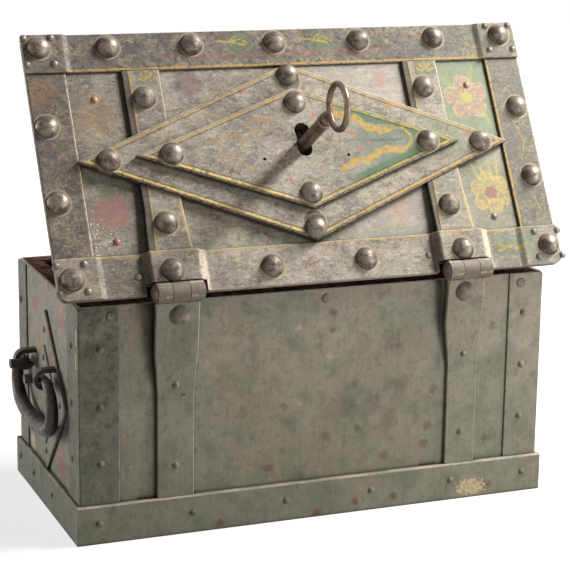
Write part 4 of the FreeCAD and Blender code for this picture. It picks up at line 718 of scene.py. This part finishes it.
def strap_art(side):
    middle = STRAP_MIDDLE[side]

    def art_on_strap(g, flat, colour, worn):
        x, y, _ = g.parts(flat)
        half = g.span(y, *STRAP_WIDENS, *STRAP_HALF_WIDTHS)
        from_left = g.math("SUBTRACT", g.math("ADD", half, middle), x)
        from_right = g.math("SUBTRACT", x, g.math("SUBTRACT", middle, half))
        on_lid = g.span(y, STRAP_END_Y + 1, STRAP_END_Y - 1)
        # Painted shade: a dark band along the strap's left edge, as on a bevel turned from the
        # light, with a dark line along its inner side
        colour = g.stain(colour, STRAP_BEVEL_SHADE, 0.7, g.near(from_left, 2.2, 2.2, 0.5), on_lid)
        colour = g.stain(colour, DIRT_AND_SHADE, 0.8, g.near(from_left, 4.9, 0.6, 0.4), on_lid)
        colour = g.stain(colour, LID_BARREL, 0.55, g.span(y, STRAP_END_Y, STRAP_END_Y + 2))
        colour = g.stain(colour, GREEN_DEEP, 0.45, g.near(y, FAN_Y - 2, 8, 3),
                         g.near(x, middle - 4, 10, 2))
        fan = g.most(*[g.stroke(flat, (middle - 5 + x_off, FAN_Y + y_off),
                                (middle - 5 + 0.35 * x_off, FAN_Y + 2 + 0.35 * y_off), 1.6, 0.6)
                       for x_off, y_off in FAN_TIPS])
        left_line = g.times(g.near(from_left, 6.6, 0.9, 0.5), on_lid)
        right_line = g.times(g.near(from_right, 1.8, 0.7, 0.4), g.span(y, 10, 40), on_lid)
        art = g.times(g.most(left_line, right_line, fan), worn)
        colour = g.stain(colour, OCHRE, 0.8, art)
        # A cream line along the strap's right edge: a painted highlight
        return g.stain(colour, CREAM, 0.85, g.near(from_right, 0.4, 0.5, 0.3), on_lid), art
    return art_on_strap


def lozenge_inset(g, flat, name):
    """How far a point lies inside the lozenge's edge, its x, and its y from the middle down
    towards the hinges."""
    half_x, half_y, middle_y = LOZENGES[name]
    x, y, _ = g.parts(flat)
    down = g.math("SUBTRACT", y, middle_y)
    share = g.math("ADD", g.math("DIVIDE", g.absolute(x), half_x),
                   g.math("DIVIDE", g.absolute(down), half_y))
    inset = g.times(g.math("SUBTRACT", 1.0, share),
                    half_x * half_y / math.hypot(half_x, half_y))
    return inset, x, down


def lozenge_edge(g, colour, inset, down):
    """Painted shade on the bevel of the edges near the hinges, and a dark line beside the ochre
    line.
    """
    # Painted shade on the bevel of the edges that face the hinges
    colour = g.stain(colour, BEVEL_SHADE, 0.8, g.span(inset, *BEVEL_INSET), g.span(down, -4, 4))
    return g.stain(colour, DIRT_AND_SHADE, 0.6, g.near(inset, DARK_LINE_INSET, 0.5, 0.4))


def lozenge_line(g, inset, down, upper_share):
    return g.times(g.near(inset, LINE_INSET, 1.2, 0.5), g.span(down, -4, 4, upper_share, 1.0))


def lozenge_gold(g, x, down):
    """The line's ochre, brighter on the edges near the hinges towards the right end."""
    return g.layer(OCHRE, OCHRE_BRIGHT, g.times(g.span(down, -4, 4), g.span(x, -40, 20)))


def outer_lozenge_art(g, flat, colour, worn):
    inset, x, down = lozenge_inset(g, flat, "outer")
    colour = lozenge_edge(g, colour, inset, down)
    colour = g.stain(colour, GREEN, 0.35, g.spots(flat, (-150, -22, 26, 14)))
    colour = g.stain(colour, PINK, 0.5, g.spots(flat, *OUTER_PINK))
    leaves = g.times(g.drawing(flat, OUTER_LEAVES), 0.5)
    art = g.times(g.most(lozenge_line(g, inset, down, 0.7), leaves), worn)
    return g.stain(colour, lozenge_gold(g, x, down), 0.9, art), art


def inner_lozenge_art(g, flat, colour, worn):
    """Foliage round a green edge on the left, and faint leaves and dots."""
    inset, x, down = lozenge_inset(g, flat, "inner")
    ragged = shifted(g, flat, 5.0, 2.6)
    ragged_inset = lozenge_inset(g, ragged, "inner")[0]
    ragged_x, ragged_y, _ = g.parts(ragged)
    leftward = g.span(x, -28, -62)
    rim = g.times(leftward, g.span(ragged_inset, 15, 10))
    tip = g.span(ragged_x, -98, -108)
    colour = g.layer(colour, LOZENGE_SHADE, g.span(x, 6, -50, 0.0, 0.28))
    colour = g.stain(colour, GREEN, 0.75, g.most(rim, tip))
    colour = g.stain(colour, GREEN_DEEP, 0.5, g.near(ragged_inset, 7.5, 3.0, 1.5), leftward)
    colour = g.stain(colour, GREEN_GREY, 0.5, g.spots(ragged, (-78, -12, 24, 9)))
    colour = g.stain(colour, GREEN_DEEP, 0.6, g.near(ragged_y, -12.0, 1.3, 1.0),
                     g.near(x, -82, 18, 5))
    leaves = g.most(g.strokes(ragged, UPPER_LEAVES, 4.6, 1.2), g.strokes(flat, CURL, 1.7, 0.8),
                    g.strokes(ragged, LOWER_LEAVES, 3.9, 1.2))
    colour = g.stain(colour, OCHRE, 0.9, leaves, g.math("MAXIMUM", worn, 0.35))
    colour = g.stain(colour, OCHRE_BROWN, 0.55, g.drawing(ragged, FAINT_LEAVES, 1.8), worn)
    dots = g.spots(flat, *[(*dot, 2.3, 1.2) for dot in INNER_DOTS])
    colour = g.stain(colour, PINK_DOT, 0.65, dots)
    colour = lozenge_edge(g, colour, inset, down)
    art = g.times(lozenge_line(g, inset, down, 0.85), worn)
    return g.stain(colour, lozenge_gold(g, x, down), 0.95, art), art


def paint_flower(g, place, colour, worn, flower):
    centre, form, fills, outline_tint, heart_tint, shares, heart_edge, heart_share = flower
    petals, outline, reach = g.flower(place, centre, *form)
    veins = g.noise(place, 3.0, 3.0, 0.7)
    fill = g.layer(*fills, g.span(veins, 0.44, 0.58))
    colour = g.stain(colour, fill, shares[0], petals, g.math("MAXIMUM", worn, 0.35))
    colour = g.stain(colour, outline_tint, shares[1], outline, worn)
    return g.layer(colour, heart_tint, g.span(reach, *heart_edge, 0.0, heart_share))


def plate_art(g, flat, colour, worn):
    """Two flowers on the green panel at the left, and stains and scrolls elsewhere."""
    x, y, _ = g.parts(flat)
    ragged = shifted(g, flat, 6.0, 3.0)
    loose = shifted(g, flat, 5.0, 2.2)
    panel = g.span(x, *PANEL_EDGE_X)
    colour = g.stain(colour, PLATE_GREY, 0.4, g.near(x, -88, 56, 24))
    colour = g.stain(colour, PANEL_GREEN, 0.7, panel, g.span(y, 0, -8))
    colour = g.stain(colour, PANEL_PALE, 0.5, g.spots(ragged, (-198, 6, 12, 9)))
    colour = g.stain(colour, PANEL_LOW, 0.4, panel, g.span(y, 12, 24))
    colour = g.stain(colour, LEAF_GREEN, 0.6, g.drawing(ragged, PLATE_LEAVES, 1.5))
    colour = paint_flower(g, loose, colour, worn, PINK_FLOWER)

    stem_x, stem_y = STEM_AT
    stems = g.most(*[g.stroke(ragged, (stem_x + off, stem_y),
                              (stem_x + 1.6 * off, stem_y - 20), 2.2, 1.2) for off in STEMS])
    colour = g.stain(colour, STEM_GREEN, 0.5, g.spots(ragged, (-190, 26, 16, 9)))
    colour = g.stain(colour, OCHRE_PALE, 0.5, stems, worn)
    colour = paint_flower(g, loose, colour, worn, OCHRE_FLOWER)

    for over, share, spots in PLATE_SPOTS:
        colour = g.stain(colour, over, share, g.spots(ragged, *spots))
    colour = g.stain(colour, PLATE_BROWN, 0.5, g.spots(ragged, (190, -52, 20, 12)), worn)
    colour = g.stain(colour, GREEN, 0.2, g.near(g.absolute(x), 60, 60, 30), g.span(y, 66, 74))
    ring = g.near(g.distance(flat, *PLATE_RING_AT), 4.6, 1.0, 0.6)
    art = g.times(g.most(g.times(g.strokes(flat, PLATE_CURL, 1.3), 0.6),
                         g.times(g.drawing(ragged, PLATE_SCROLLS), 0.55), ring), worn)
    colour = g.stain(colour, OCHRE, 0.7, art)
    specks = g.times(g.span(g.noise(flat, 1.9, 1.0), 0.62, 0.67), g.spots(flat, (208, 64, 20, 12)))
    return g.layer(colour, PLATE_SPECKS, specks), art


def metal(name, place_of, colours, roughness, metallic, bump_mm=0.12, specular=0.5,
          edge_tint=BARE_IRON, painted=()):
    """Iron in a main, a second and a dark colour; painted are the x, y and colour of heads."""
    g = Graph(bpy.data.materials.new(name))
    place = place_of(g)
    main, second, dark = colours
    broad = g.noise(place, 9, 3.0, 0.6)
    fine = g.noise(place, 1.6, 4.0, 0.7)
    colour = g.layer(main, second, g.span(broad, 0.42, 0.62))
    colour = g.stain(colour, dark, 0.6, g.span(fine, 0.48, 0.36))
    for x, y, over in painted:
        colour = g.stain(colour, over, 0.8, g.spots(g.flat(place), (x, y, 7.0, 1.0)))
    rounded, edge, dirt_and_shade = edge_wear_and_dirt_shade(g, 0.5, 3.0)
    colour = g.stain(colour, edge_tint, 0.6, edge)
    # Dirt, and painted shade in corners and creases
    colour = g.stain(colour, DIRT_AND_SHADE, 0.75, dirt_and_shade)
    rough = g.span(broad, 0.35, 0.65, *roughness)
    height = g.math("ADD", g.times(broad, 1.6), g.times(fine, 0.4))
    return finish_surface(g, colour, rough, height, rounded, bump_mm, metallic, specular)


def link(thing):
    bpy.context.scene.collection.objects.link(thing)
    return thing


def make_camera():
    ahead = Vector((-math.sin(YAW) * math.cos(PITCH), -math.cos(YAW) * math.cos(PITCH),
                    -math.sin(PITCH)))
    right = Vector((-math.cos(YAW), math.sin(YAW), 0.0))
    up = right.cross(ahead)
    rolled_right = math.cos(ROLL) * right + math.sin(ROLL) * up
    rolled_up = -math.sin(ROLL) * right + math.cos(ROLL) * up
    data = bpy.data.cameras.new("camera")
    data.sensor_width = SENSOR_MM
    data.lens = LENS_MM
    data.clip_end = CLIP_END
    camera = link(bpy.data.objects.new("camera", data))
    turn = Matrix((rolled_right, rolled_up, -ahead)).transposed().to_4x4()
    camera.matrix_world = Matrix.Translation(CAMERA_AT) @ turn
    bpy.context.scene.camera = camera


def make_light(name, at, size, along, power):
    """A rectangular lamp that faces the chest, with its long side near the direction along."""
    data = bpy.data.lights.new(name, "AREA")
    data.shape = "RECTANGLE"
    data.size, data.size_y = size
    data.energy = power
    light = link(bpy.data.objects.new(name, data))
    back = (at - CHEST_MIDDLE).normalized()
    side = along.cross(back).normalized()
    turn = Matrix((side, back.cross(side), back)).transposed().to_4x4()
    light.matrix_world = Matrix.Translation(at) @ turn


def seen_directly(g):
    """1 for the rays that show the background: from the camera, mirrored or passed through."""
    rays = g.tree.nodes.new("ShaderNodeLightPath").outputs
    return g.most(rays["Is Camera Ray"], rays["Is Glossy Ray"], rays["Is Transmission Ray"])


def make_world():
    world = bpy.data.worlds.new("world")
    bpy.context.scene.world = world
    g = Graph(world)
    strength = g.span(seen_directly(g), 0.0, 1.0, WORLD_STRENGTH, 1.0)
    background = g.add("ShaderNodeBackground", {"Color": WHITE, "Strength": strength})
    g.add("ShaderNodeOutputWorld", {"Surface": background})


def make_floor():
    mesh = bpy.data.meshes.new("floor")
    mesh.from_pydata([(x * FLOOR_HALF, y * FLOOR_HALF, FLOOR_Z)
                      for x, y in ((-1, -1), (1, -1), (1, 1), (-1, 1))], [], [(0, 1, 2, 3)])
    floor = link(bpy.data.objects.new("floor", mesh))
    g = Graph(bpy.data.materials.new("floor_white"))
    away = g.vector("LENGTH", object_place(g), output="Value")
    glow = g.times(seen_directly(g), g.span(away, *FLOOR_GLOW_SPAN, FLOOR_GLOW, 1.0))
    diffuse = g.add("ShaderNodeBsdfDiffuse", {"Color": FLOOR_GREY})
    emission = g.add("ShaderNodeEmission", {"Color": WHITE, "Strength": glow})
    shader = g.add("ShaderNodeAddShader", {0: diffuse, 1: emission})
    g.add("ShaderNodeOutputMaterial", {"Surface": shader})
    mesh.materials.append(g.owner)


def pieces(*starts):
    return [name for name in nodes if name.startswith(starts)]


def dress(material, *names):
    for name in names:
        data = nodes[name].data
        data.materials.clear()
        data.materials.append(material)


make_camera()
for lamp in LAMPS:
    make_light(*lamp)
make_world()
make_floor()

dress(lid_paint("lid_plate_paint", plate_art, lambda x, y: abs(x) < 1), "lid_plate")
dress(lid_paint("front_border_paint", front_border_art, lambda x, y: y < -100, DARK_LID_LOOK),
      "lid_border_front")
dress(lid_paint("back_border_paint", back_border_art, lambda x, y: y > 85), "lid_border_back")
dress(lid_paint("right_border_paint", right_border_art, lambda x, y: x > 215, DARK_LID_LOOK),
      "lid_border_right")
dress(lid_paint("left_border_paint", left_border_art, lambda x, y: x < -215, DARK_LID_LOOK),
      "lid_border_left")
for side, middle in STRAP_MIDDLE.items():
    dress(lid_paint("lid_strap_%s_paint" % side, strap_art(side),
                    lambda x, y: abs(x - middle) < 12), "lid_strap_" + side)
dress(lid_paint("outer_lozenge_paint", outer_lozenge_art,
                lambda x, y: abs(x) > 160 and abs(y + 8) < 12 or abs(x) < 12), "outer_lozenge")
dress(lid_paint("inner_lozenge_paint", inner_lozenge_art,
                lambda x, y: abs(y + 9) < 60 and abs(x) < 135), "inner_lozenge")

dress(box_paint("back_wall_paint", BOX_LOOK, back_wall_marks, dirt_and_shade_mm=8.0),
      "back_wall", "front_wall")
dress(box_paint("plinth_paint", BOX_LOOK, plinth_marks, pale_top=True),
      "plinth_back", "plinth_front")
dress(box_paint("end_plinth_paint", BAND_LOOK, pale_top=True), "plinth_left", "plinth_right")
dress(box_paint("strap_paint", BOX_LOOK, strap_marks), *pieces("hinge_strap_", "front_strap_"))
dress(box_paint("band_paint", BAND_LOOK, band_marks), "corner_band_back_right",
      "corner_band_front_right", "corner_band_front_left")
dress(box_paint("green_band_paint", BOX_LOOK), "corner_band_back_left")
# The rim pieces get nearly black paint as painted shade
dress(box_paint("rim_painted_shade", RIM_SHADE_LOOK, pale_edges=False, specular=0.0, lining=RIM_LINING),
      *pieces("rim_", "bottom_plate"))
dress(box_paint("box_rivet_paint", RIVET_LOOK, pale_edges=False),
      "band_rivets", "rim_rivets", "plinth_rivets", "strap_rivets")
dress(box_paint("end_paint", END_LOOK, end_marks), *pieces("end_"))

dress(metal("polished_rivet_iron", lid_place,
            (tint(128, 117, 105), tint(82, 70, 60), tint(38, 32, 28)), (0.44, 0.62), 0.55),
      "dome_rivets")
dress(metal("small_rivet_iron", lid_place,
            (tint(124, 112, 98), tint(100, 88, 76), tint(60, 52, 46)), (0.4, 0.6), 0.3,
            painted=[(187.4, 64.4, tint(150, 92, 88)), (186.5, -71.0, tint(150, 130, 84)),
                     (-186.0, -71.0, tint(156, 112, 92))]), "lid_small_rivets")
dress(metal("forged_iron", box_place,
            (tint(66, 57, 50), tint(52, 45, 40), tint(32, 28, 25)), (0.42, 0.6), 0.55,
            bump_mm=0.2, specular=0.45, edge_tint=tint(110, 100, 90)), *pieces("handle_"))
dress(metal("hinge_iron", lid_place,
            (tint(120, 108, 96), tint(98, 86, 76), tint(56, 48, 42)), (0.42, 0.6), 0.5),
      *pieces("hinge_pin"))
dress(metal("lock_steel", lid_place,
            (tint(120, 116, 110), tint(100, 94, 88), tint(72, 62, 54)), (0.34, 0.55), 0.8),
      *pieces("lock_", "bolt_", "slide_", "key_post", "cover_"))
dress(metal("key_steel", box_place,
            (tint(128, 108, 92), tint(96, 78, 66), tint(56, 44, 38)), (0.32, 0.5), 0.75), "key")

bpy.context.scene.view_settings.view_transform = "Standard"
